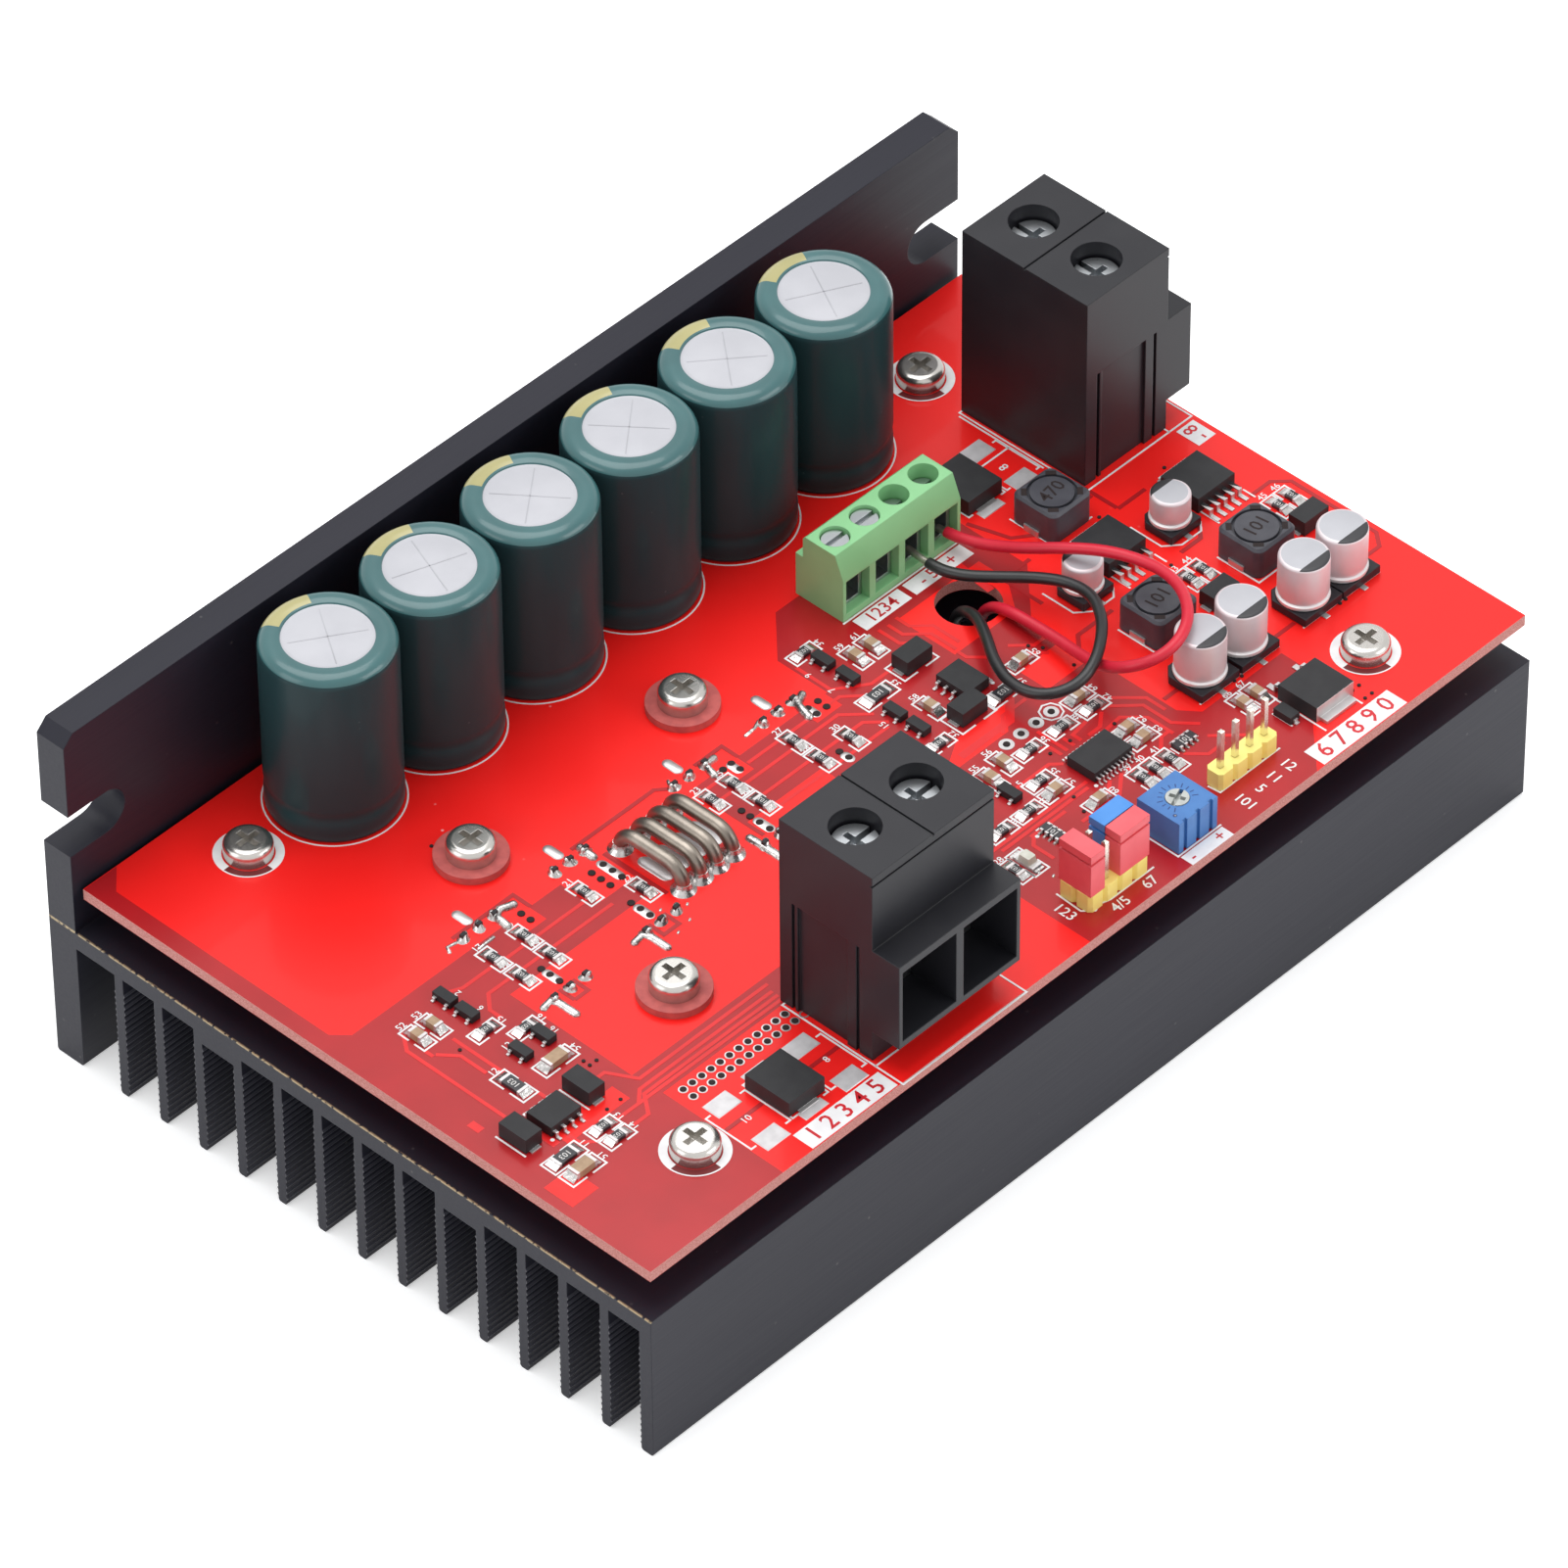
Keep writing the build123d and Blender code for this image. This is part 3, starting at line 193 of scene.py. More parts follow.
class Nodes:
    """The shader nodes of one material, or of the world."""

    def __init__(self, owner: bpy.types.Material | bpy.types.World) -> None:
        self.owner = owner
        owner.use_nodes = True
        self.tree = owner.node_tree
        self.tree.nodes.clear()

    def add(
        self, kind: str, settings: dict | None = None, values: dict | None = None,
        output: int | str = 0,
    ) -> Value:
        """Adds a node, as add_node does, and hands back one of its outputs.

        Args:
            kind: The node's type.
            settings: Its properties.
            values: What goes into its sockets, by name or number.
            output: The output.

        Returns:
            The chosen output.
        """
        sockets = {key: getattr(value, "socket", value) for key, value in (values or {}).items()}
        return Value(self, add_node(self.tree, kind, settings, sockets).outputs[output])

    def place(self) -> Value:
        """Object coordinates in millimetres."""
        spot = self.add("ShaderNodeTexCoord", output="Object")
        return self.add(
            "ShaderNodeVectorMath", {"operation": "SCALE"}, {0: spot, "Scale": 1 / MM}
        )

    def axis(self, letter: str) -> Value:
        """One object coordinate, in millimetres."""
        return self.add("ShaderNodeSeparateXYZ", None, {0: self.place()}, letter.upper())

    def noise(
        self, size: float, detail: float = 3.0, stretch: Triple = (1.0, 1.0, 1.0)
    ) -> Value:
        """Noise from 0 to 1.

        Args:
            size: Size of its spots, in millimetres.
            detail: Octaves of finer spots.
            stretch: How much finer it is along each axis.

        Returns:
            The noise.
        """
        spot = self.add(
            "ShaderNodeVectorMath", {"operation": "MULTIPLY"}, {0: self.place(), 1: stretch}
        )
        values = {"Vector": spot, "Scale": 1 / size, "Detail": detail}
        return self.add("ShaderNodeTexNoise", None, values)

    def dust(self, size: float, reach: Pair, cloud: float, cover: Pair) -> Value:
        """Specks that lie in clouds.

        Args:
            size: Distance between the specks, in millimetres.
            reach: Shares of that distance at which a speck ends and is full.
            cloud: Size of the clouds, in millimetres.
            cover: Noise values at which a cloud starts and is full.

        Returns:
            0 to 1, where there is dust.
        """
        values = {"Vector": self.place(), "Scale": 1 / size, "Randomness": 1.0}
        specks = self.add("ShaderNodeTexVoronoi", None, values)
        return specks.ease(*reach) * self.noise(cloud).ease(*cover)

    def mix(
        self, share: "Value | float", first: "Value | Colour", second: "Value | Colour"
    ) -> Value:
        """Mixes two colours by a share from 0 to 1."""
        values = {0: share, 6: first, 7: second}
        return self.add("ShaderNodeMix", {"data_type": "RGBA"}, values, 2)

    def bump(self, height: Value, depth: float, rounding: float = 0.0) -> Value:
        """A normal from a height of 0 to 1.

        Args:
            height: The height.
            depth: The millimetres that a height of 1 stands for.
            rounding: Radius in millimetres that sharp edges are shown with.

        Returns:
            The normal.
        """
        values = {"Height": height, "Distance": depth * MM}
        if rounding:
            values["Normal"] = self.add(
                "ShaderNodeBevel", {"samples": 6}, {"Radius": rounding * MM}
            )
        return self.add("ShaderNodeBump", None, values)

    def rays(self) -> list[Value]:
        """The camera, glossy and transmission rays, each 1 for a ray of its kind."""
        path = self.tree.nodes.new("ShaderNodeLightPath")
        kinds = ("Camera", "Glossy", "Transmission")
        return [Value(self, path.outputs[f"Is {kind} Ray"]) for kind in kinds]

    def surface(self, **inputs: "Value | float | Colour") -> bpy.types.Material:
        """Ends the material in a Principled surface.

        Args:
            inputs: The surface's sockets, with _ for each space.

        Returns:
            The material.
        """
        values = {key.replace("_", " "): value for key, value in inputs.items()}
        return self.end(self.add("ShaderNodeBsdfPrincipled", None, values))

    def end(self, shader: Value, kind: str = "Material") -> bpy.types.Material | bpy.types.World:
        """Links a shader to the output."""
        add_node(self.tree, f"ShaderNodeOutput{kind}", None, {"Surface": shader.socket})
        return self.owner


@dataclass(frozen=True)
class Finish:
    """A finish with one main colour that drifts a little, and a fine grain in gloss and relief."""

    name: str
    colour: Colour
    second: Colour | None = None
    roughness: float = 0.45
    spread: float = 0.08
    metallic: float = 0.0
    specular: float = 0.5
    patch: float = 7.0
    grain: float = 0.25
    relief: float = 0.01
    coat: float = 0.0
    rounding: float = 0.0

    def nodes(self) -> Nodes:
        """An empty material of the finish's name."""
        return Nodes(bpy.data.materials.new(self.name))

    def tint(self, nodes: Nodes, drift: Value) -> Value:
        """The main colour, drifting to the second."""
        other = self.second or tuple(0.8 * channel for channel in self.colour)
        return nodes.mix(drift.ease(0.3, 0.7), self.colour, other)

    def build(self) -> bpy.types.Material:
        """Makes the material."""
        nodes = self.nodes()
        drift = nodes.noise(self.patch)
        grain = nodes.noise(self.grain, 2.0)
        return nodes.surface(
            Base_Color=self.tint(nodes, drift),
            Roughness=self.roughness + (drift - 0.5) * self.spread + (grain - 0.5) * self.spread,
            Metallic=self.metallic,
            Specular_IOR_Level=self.specular,
            Coat_Weight=self.coat,
            Coat_Roughness=0.12,
            Normal=nodes.bump(grain, self.relief, self.rounding),
        )


@dataclass(frozen=True)
class AnodisedFinish(Finish):
    """Black anodising with fine drawing lines, dust, and bare metal along the sawn left edge."""

    line_pitch: float = 0.35
    dust_colour: Colour = (0.22, 0.21, 0.2)
    bare_colour: Colour = (0.42, 0.33, 0.2)
    edge_width: float = 0.3

    def build(self) -> bpy.types.Material:
        """Makes the material."""
        nodes = self.nodes()
        left_edge, base_top = DATUM.left / MM, DATUM.base_top / MM
        drift = nodes.noise(30.0, 3.0, (0.4, 1.0, 1.0))
        lines = nodes.noise(self.line_pitch, 2.0, (0.02, 1.0, 1.0))
        grain = nodes.noise(0.12, 1.0)
        dust = nodes.dust(3.1, (0.09, 0.02), 9.0, (0.5, 0.62))
        near_edge = (nodes.axis("x") - left_edge).ease(self.edge_width, 0.05)
        near_top = abs(nodes.axis("z") - base_top).ease(self.edge_width, 0.08)
        bare = near_edge * near_top * nodes.noise(0.7, 4.0).ease(0.4, 0.5)
        colour = nodes.mix(dust * 0.5, self.tint(nodes, drift), self.dust_colour)
        return nodes.surface(
            Base_Color=nodes.mix(bare, colour, self.bare_colour),
            Roughness=self.roughness + (lines - 0.5) * 0.16 + (drift - 0.5) * 0.1 + dust * 0.3,
            Metallic=bare * 0.7,
            Specular_IOR_Level=self.specular,
            Normal=nodes.bump(lines * 0.7 + grain * 0.3, self.relief, self.rounding),
        )


@dataclass(frozen=True)
class MaskFinish(Finish):
    """Glossy solder mask over copper, with pale glass cloth showing on the board's cut edges."""

    edge_colours: tuple[Colour, Colour] = ((0.62, 0.3, 0.27), (0.45, 0.15, 0.13))
    dust_colour: Colour = (0.9, 0.6, 0.6)
    layer: float = 0.02

    def build(self) -> bpy.types.Material:
        """Makes the material."""
        nodes = self.nodes()
        top, bottom = DATUM.board_top / MM, DATUM.board_bottom / MM
        drift = nodes.noise(22.0, 2.0)
        grain = nodes.noise(0.5)
        height = nodes.axis("z")
        edge = (height < top - self.layer) * (height > bottom + self.layer)
        cloth = nodes.noise(0.2, 2.0, (1.0, 1.0, 3.0))
        edge_colour = nodes.mix(cloth.ease(0.35, 0.65), *self.edge_colours)
        dust = nodes.dust(4.3, (0.06, 0.02), 8.0, (0.52, 0.66))
        colour = nodes.mix(dust * 0.6, self.tint(nodes, drift), self.dust_colour)
        return nodes.surface(
            Base_Color=nodes.mix(edge, colour, edge_colour),
            Roughness=self.roughness + (grain - 0.5) * 0.08 + edge * 0.4,
            Coat_Weight=(1 - edge) * self.coat,
            Coat_Roughness=0.08,
            Specular_IOR_Level=self.specular,
            Normal=nodes.bump(grain, self.relief),
        )


@dataclass(frozen=True)
class SleeveFinish(Finish):
    """Shrunk plastic sleeve: long soft ripples down its side under a clear gloss."""

    ripple: float = 1.8
    fleck_colour: Colour = (0.12, 0.16, 0.16)

    def build(self) -> bpy.types.Material:
        """Makes the material."""
        nodes = self.nodes()
        drift = nodes.noise(6.0, 2.0, (1.0, 1.0, 0.3))
        ripple = nodes.noise(self.ripple, 1.0, (1.0, 1.0, 0.12))
        fleck = nodes.dust(2.3, (0.08, 0.03), 5.0, (0.5, 0.6))
        return nodes.surface(
            Base_Color=nodes.mix(fleck * 0.3, self.tint(nodes, drift), self.fleck_colour),
            Roughness=self.roughness + (drift - 0.5) * self.spread,
            Specular_IOR_Level=self.specular,
            Coat_Weight=self.coat,
            Coat_Roughness=0.1,
            Normal=nodes.bump(ripple, self.relief),
        )


# Finishes by the surface that they cover
ANODISED = AnodisedFinish(
    "black_anodising", (0.011, 0.011, 0.019), (0.015, 0.015, 0.024), roughness=0.45, specular=0.27,
    relief=0.008, rounding=0.15,
)
# The fin ridges are the same black anodising, painted lighter: painted light between the fins.
RIDGES_PAINTED_LIGHT = AnodisedFinish(
    "black_anodised_ridges", (0.06, 0.06, 0.074), (0.075, 0.075, 0.09), roughness=0.36,
    relief=0.004,
)
SOLDER_MASK = MaskFinish(
    "red_solder_mask", (0.96, 0.014, 0.011), (0.9, 0.012, 0.01), roughness=0.34, specular=0.27,
    coat=0.2, relief=0.006,
)
SOLDER_MASK_FLAT = Finish(
    "mask_over_copper", (0.96, 0.014, 0.011), (0.9, 0.012, 0.01), roughness=0.34, specular=0.27,
    coat=0.2, patch=22.0, relief=0.003,
)
DARK_INK = Finish("dark_mask_quadrant", (0.16, 0.004, 0.006), roughness=0.4)
RED_FIGURE = Finish("red_figures", (0.62, 0.01, 0.02), roughness=0.4)
BARE_MASK = Finish(
    "mask_over_bare_board", (0.44, 0.008, 0.012), (0.38, 0.007, 0.01), roughness=0.34,
    specular=0.35, coat=0.2, patch=9.0, relief=0.003,
)
MASKED_TRACK = Finish(
    "mask_over_tracks", (0.76, 0.012, 0.014), (0.68, 0.01, 0.012), roughness=0.32, specular=0.35,
    coat=0.2, relief=0.003,
)
SILK_INK = Finish(
    "white_board_ink", (0.84, 0.84, 0.84), (0.78, 0.76, 0.77), roughness=0.6, patch=1.5,
)
# The sleeve is one teal plastic in two copies: the side's copy is darkened with painted shade, the
# shoulder's copy keeps the lighter, lit teal.
SLEEVE_SIDE_SHADED = SleeveFinish(
    "green_shrink_sleeve", (0.018, 0.048, 0.053), (0.014, 0.04, 0.045), roughness=0.4,
    specular=0.15, coat=0.08, relief=0.02,
)
SLEEVE_TOP_LIT = SleeveFinish(
    "green_sleeve_shoulder", (0.045, 0.14, 0.145), (0.038, 0.12, 0.125), roughness=0.3,
    specular=0.35, coat=0.5, relief=0.006,
)
CAN_SCORE = Finish(
    "scored_aluminium", (0.44, 0.44, 0.47), roughness=0.5, metallic=0.3, relief=0.002,
)
SLEEVE_MARK = Finish(
    "khaki_sleeve_mark", (0.42, 0.38, 0.16), (0.36, 0.33, 0.13), roughness=0.35, coat=0.5,
)
CAN_TOP = Finish(
    "etched_aluminium", (0.49, 0.49, 0.52), (0.45, 0.45, 0.48), roughness=0.5, metallic=0.25,
    grain=0.3, relief=0.006,
)
CAN_SIDE = Finish(
    "satin_aluminium", (0.74, 0.66, 0.68), (0.68, 0.6, 0.62), roughness=0.45, metallic=0.3,
    grain=0.3, relief=0.002,
)
CAN_FOOT = Finish(
    "rolled_can_foot", (0.8, 0.78, 0.78), (0.74, 0.72, 0.72), roughness=0.4, metallic=0.4,
    relief=0.004,
)
CAN_MARK = Finish("dark_can_print", (0.03, 0.03, 0.034), roughness=0.4)
NICKEL = Finish(
    "nickel_plating", (0.62, 0.6, 0.57), (0.56, 0.54, 0.51), roughness=0.24, metallic=0.95,
    relief=0.0015, rounding=0.12,
)
ZINC = Finish(
    "zinc_plating", (0.5, 0.52, 0.54), (0.44, 0.46, 0.48), roughness=0.3, metallic=0.95,
    relief=0.002, rounding=0.1,
)
SOLDER = Finish(
    "tin_solder", (0.64, 0.62, 0.61), (0.44, 0.43, 0.42), roughness=0.26, metallic=0.95, patch=0.7,
    grain=0.7, relief=0.09,
)
TINNED = Finish(
    "tinned_lead", (0.62, 0.6, 0.6), (0.55, 0.53, 0.53), roughness=0.36, metallic=0.8, patch=2.0,
    relief=0.002,
)
PAD_TIN = Finish(
    "tinned_pad", (0.66, 0.64, 0.65), (0.56, 0.54, 0.55), roughness=0.45, metallic=0.35, patch=1.5,
    relief=0.004,
)
SHUNT = Finish(
    "resistance_alloy", (0.32, 0.28, 0.24), (0.24, 0.21, 0.18), roughness=0.36, metallic=0.9,
    patch=3.0, grain=0.2, relief=0.015,
)
FIBRE = Finish(
    "red_vulcanised_fibre", (0.52, 0.1, 0.09), (0.42, 0.075, 0.07), roughness=0.6, patch=1.2,
    grain=0.2, relief=0.008, rounding=0.1,
)
BLACK_PLASTIC = Finish(
    "black_moulding", (0.014, 0.014, 0.018), (0.018, 0.018, 0.022), roughness=0.42, specular=0.33,
    grain=0.14, relief=0.003, rounding=0.18,
)
FAN_PLASTIC = Finish(
    "fan_moulding", (0.014, 0.014, 0.015), (0.02, 0.02, 0.021), roughness=0.5, grain=0.2,
    relief=0.01,
)
GREEN_PLASTIC = Finish(
    "green_moulding", (0.27, 0.6, 0.28), (0.24, 0.55, 0.25), roughness=0.4, grain=0.2,
    relief=0.003, rounding=0.15,
)
CHIP_EPOXY = Finish(
    "chip_epoxy", (0.014, 0.014, 0.016), (0.02, 0.02, 0.022), roughness=0.55, specular=0.35,
    patch=2.0, grain=0.1, relief=0.01,
)
FERRITE = Finish(
    "ferrite", (0.05, 0.05, 0.062), (0.065, 0.065, 0.078), roughness=0.45, specular=0.4, patch=2.0,
    grain=0.15, relief=0.004, rounding=0.1,
)
CHIP_GLAZE = Finish(
    "resistor_glaze", (0.02, 0.02, 0.024), (0.03, 0.03, 0.035), roughness=0.3, patch=1.0,
)
CERAMIC = Finish("white_ceramic", (0.7, 0.68, 0.66), roughness=0.5, patch=1.0)
TAN_CERAMIC = Finish(
    "tan_ceramic", (0.42, 0.28, 0.17), (0.34, 0.22, 0.13), roughness=0.4, patch=1.0,
)
YELLOW_PLASTIC = Finish(
    "yellow_moulding", (0.97, 0.84, 0.25), (0.94, 0.79, 0.21), roughness=0.42, patch=3.0,
    relief=0.003, rounding=0.12,
)
RED_CAP = Finish(
    "red_jumper_moulding", (0.86, 0.12, 0.14), (0.8, 0.1, 0.12), roughness=0.42, patch=4.0,
    relief=0.002, rounding=0.15,
)
BLUE_CAP = Finish(
    "blue_jumper_moulding", (0.07, 0.28, 0.72), (0.05, 0.24, 0.66), roughness=0.42, patch=4.0,
    relief=0.002, rounding=0.15,
)
TRIMMER_BLUE = Finish(
    "blue_trimmer_moulding", (0.06, 0.2, 0.5), (0.05, 0.17, 0.45), roughness=0.42, patch=3.0,
    relief=0.003, rounding=0.12,
)
TRIMMER_TICK = Finish("dark_trimmer_ticks", (0.015, 0.05, 0.2), roughness=0.5, relief=0.001)
ROTOR_GREY = Finish(
    "grey_rotor", (0.5, 0.52, 0.5), (0.42, 0.44, 0.42), roughness=0.42, metallic=0.3, patch=1.0,
)
GOLD_PIN = Finish(
    "bright_pin", (0.78, 0.74, 0.66), (0.7, 0.66, 0.58), roughness=0.24, metallic=1.0, patch=2.0,
)
LED_CLEAR = Finish(
    "clear_led_resin", (0.7, 0.7, 0.62), (0.6, 0.6, 0.5), roughness=0.2, patch=0.8, coat=0.6,
)
PAD_GREY = Finish("grey_pad", (0.3, 0.3, 0.31), roughness=0.7, patch=3.0)
SPACER_METAL = Finish("spacer_metal", (0.55, 0.55, 0.56), roughness=0.35, metallic=1.0)
BLACK_WIRE = Finish(
    "black_insulation", (0.012, 0.012, 0.013), (0.017, 0.017, 0.019), roughness=0.34, patch=4.0,
    relief=0.006,
)
RED_WIRE = Finish(
    "red_insulation", (0.66, 0.016, 0.042), (0.6, 0.014, 0.036), roughness=0.38, specular=0.4,
    patch=4.0, relief=0.003,
)
STRAND = Finish(
    "tinned_strand", (0.6, 0.56, 0.5), (0.5, 0.46, 0.4), roughness=0.35, metallic=1.0, patch=0.8,
    grain=0.12, relief=0.03,
)
# Dark discs over the board's holes are painted shade; the same dark finish also serves the
# inductors' value and notches.
HOLE_SHADE_AND_DARK_MARKS = Finish("dark_hole", (0.012, 0.004, 0.004), roughness=0.8)


@functools.cache
def material_of(finish: Finish) -> bpy.types.Material:
    """The one material of a finish."""
    return finish.build()


def finished(draft: bmesh.types.BMesh, name: str, finishes: Iterable[Finish]) -> bpy.types.Mesh:
    """Turns a draft into a mesh and frees the draft.

    Args:
        draft: The draft.
        name: The mesh's name.
        finishes: The finishes that its faces refer to.

    Returns:
        The mesh.
    """
    mesh = bpy.data.meshes.new(name)
    draft.to_mesh(mesh)
    draft.free()
    for finish in finishes:
        mesh.materials.append(material_of(finish))
    return mesh


def add_object(name: str, data: bpy.types.ID) -> bpy.types.Object:
    """Adds an object to the scene."""
    made = bpy.data.objects.new(name, data)
    bpy.context.scene.collection.objects.link(made)
    return made


@dataclass(frozen=True)
class Box:
    """A solid's box, in millimetres from the corner and the board's top."""

    low: Triple
    high: Triple

    @property
    def centre(self) -> Pair:
        """Middle of the box from above."""
        return ((self.low[0] + self.high[0]) / 2, (self.low[1] + self.high[1]) / 2)

    @property
    def size(self) -> Triple:
        """Its length along each axis."""
        return tuple(b - a for a, b in zip(self.low, self.high))

    @property
    def lies_along_x(self) -> bool:
        """Whether it is longer along X than along Y."""
        return self.size[0] > self.size[1]


def merged(node: str) -> bmesh.types.BMesh:
    """A copy of a node's triangles with their corners joined."""
    mesh = bmesh.new()
    mesh.from_mesh(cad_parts[node].data)
    bmesh.ops.remove_doubles(mesh, verts=mesh.verts, dist=WELD_M)
    return mesh


@functools.cache
def solids(node: str) -> tuple[Box, ...]:
    """Boxes of a node's separate solids.

    Args:
        node: The node's name.

    Returns:
        The boxes, from left to right.
    """
    mesh = merged(node)
    left = set(mesh.verts)
    found = []
    while left:
        stack = [left.pop()]
        group = []
        while stack:
            vertex = stack.pop()
            group.append(DATUM.back_to_mm(vertex.co))
            for edge in vertex.link_edges:
                other = edge.other_vert(vertex)
                if other in left:
                    left.remove(other)
                    stack.append(other)
        found.append(Box(tuple(map(min, zip(*group))), tuple(map(max, zip(*group)))))
    mesh.free()
    return tuple(sorted(found, key=lambda box: box.low))


def place_piece(
    name: str,
    mesh: bpy.types.Mesh,
    slot: str,
    stands_for: Sequence[str] = (),
    bevel: float = 0.0,
    smooth: float = 35.0,
) -> bpy.types.Object:
    """Makes a finished mesh a piece of the module's fixed body.

    Args:
        name: The piece's name.
        mesh: Its mesh, in metres in the frame.
        slot: The record's material slot; not used.
        stands_for: The nodes that it is shown instead of.
        bevel: Width of the softened edges, in millimetres.
        smooth: Angle in degrees above which an edge stays sharp.

    Returns:
        The piece.
    """
    mesh.name = name
    if "custom_normal" in mesh.attributes:
        mesh.attributes.remove(mesh.attributes["custom_normal"])
    mesh.shade_smooth()
    mesh.set_sharp_from_angle(angle=math.radians(smooth))
    piece = add_object(name, mesh)
    if bevel:
        soften = piece.modifiers.new("softened_edges", "BEVEL")
        soften.width = bevel * MM
        soften.segments = BEVEL_STEPS
        soften.limit_method = "ANGLE"
        soften.angle_limit = math.radians(BEVEL_FROM_DEGREES)
        soften.harden_normals = True
        soften.miter_outer = "MITER_ARC"
    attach(piece, Body.MODULE.value)
    if stands_for:
        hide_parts(*stands_for)
    log.info("%s: %d faces", name, len(mesh.polygons))
    return piece


def refine(node: str, finish: Finish, slot: str) -> None:
    """Shows a node with its corners joined, so that round walls shade smoothly.

    Args:
        node: The node that the piece stands for.
        finish: Its finish.
        slot: The record's material slot.
    """
    mesh = finished(merged(node), node, (finish,))
    place_piece(f"{node}_body", mesh, slot, [node], smooth=REFINED_SMOOTH)


def two_tone(node: str, choose: Callable[[Box, Vector], int], bevel: float = 0.05) -> None:
    """Shows a leaded package with a moulded case and tinned leads, chosen face by face.

    Args:
        node: The node that the piece stands for.
        choose: Takes a solid's box and the middle of a face, in millimetres, to 1 for a lead.
        bevel: Width of the softened edges, in millimetres.
    """
    draft = merged(node)
    boxes = solids(node)
    for made in draft.faces:
        middle = Vector(DATUM.back_to_mm(made.calc_center_median()))
        holding = min(boxes, key=lambda box: (Vector(box.centre) - middle.to_2d()).length)
        made.material_index = choose(holding, middle)
    bmesh.ops.dissolve_limit(
        draft,
        angle_limit=math.radians(0.5),
        verts=draft.verts,
        edges=draft.edges,
        delimit={"NORMAL", "MATERIAL"},
    )
    mesh = finished(draft, node, (CHIP_EPOXY, TINNED))
    place_piece(f"{node}_body", mesh, "package_black", [node], bevel, REFINED_SMOOTH)


def dress(node: str, finish: Finish) -> None:
    """Gives a node that is shown as it is a better finish."""
    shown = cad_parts[node]
    shown.data.materials.clear()
    shown.data.materials.append(material_of(finish))
    log.info("%s: dressed", node)


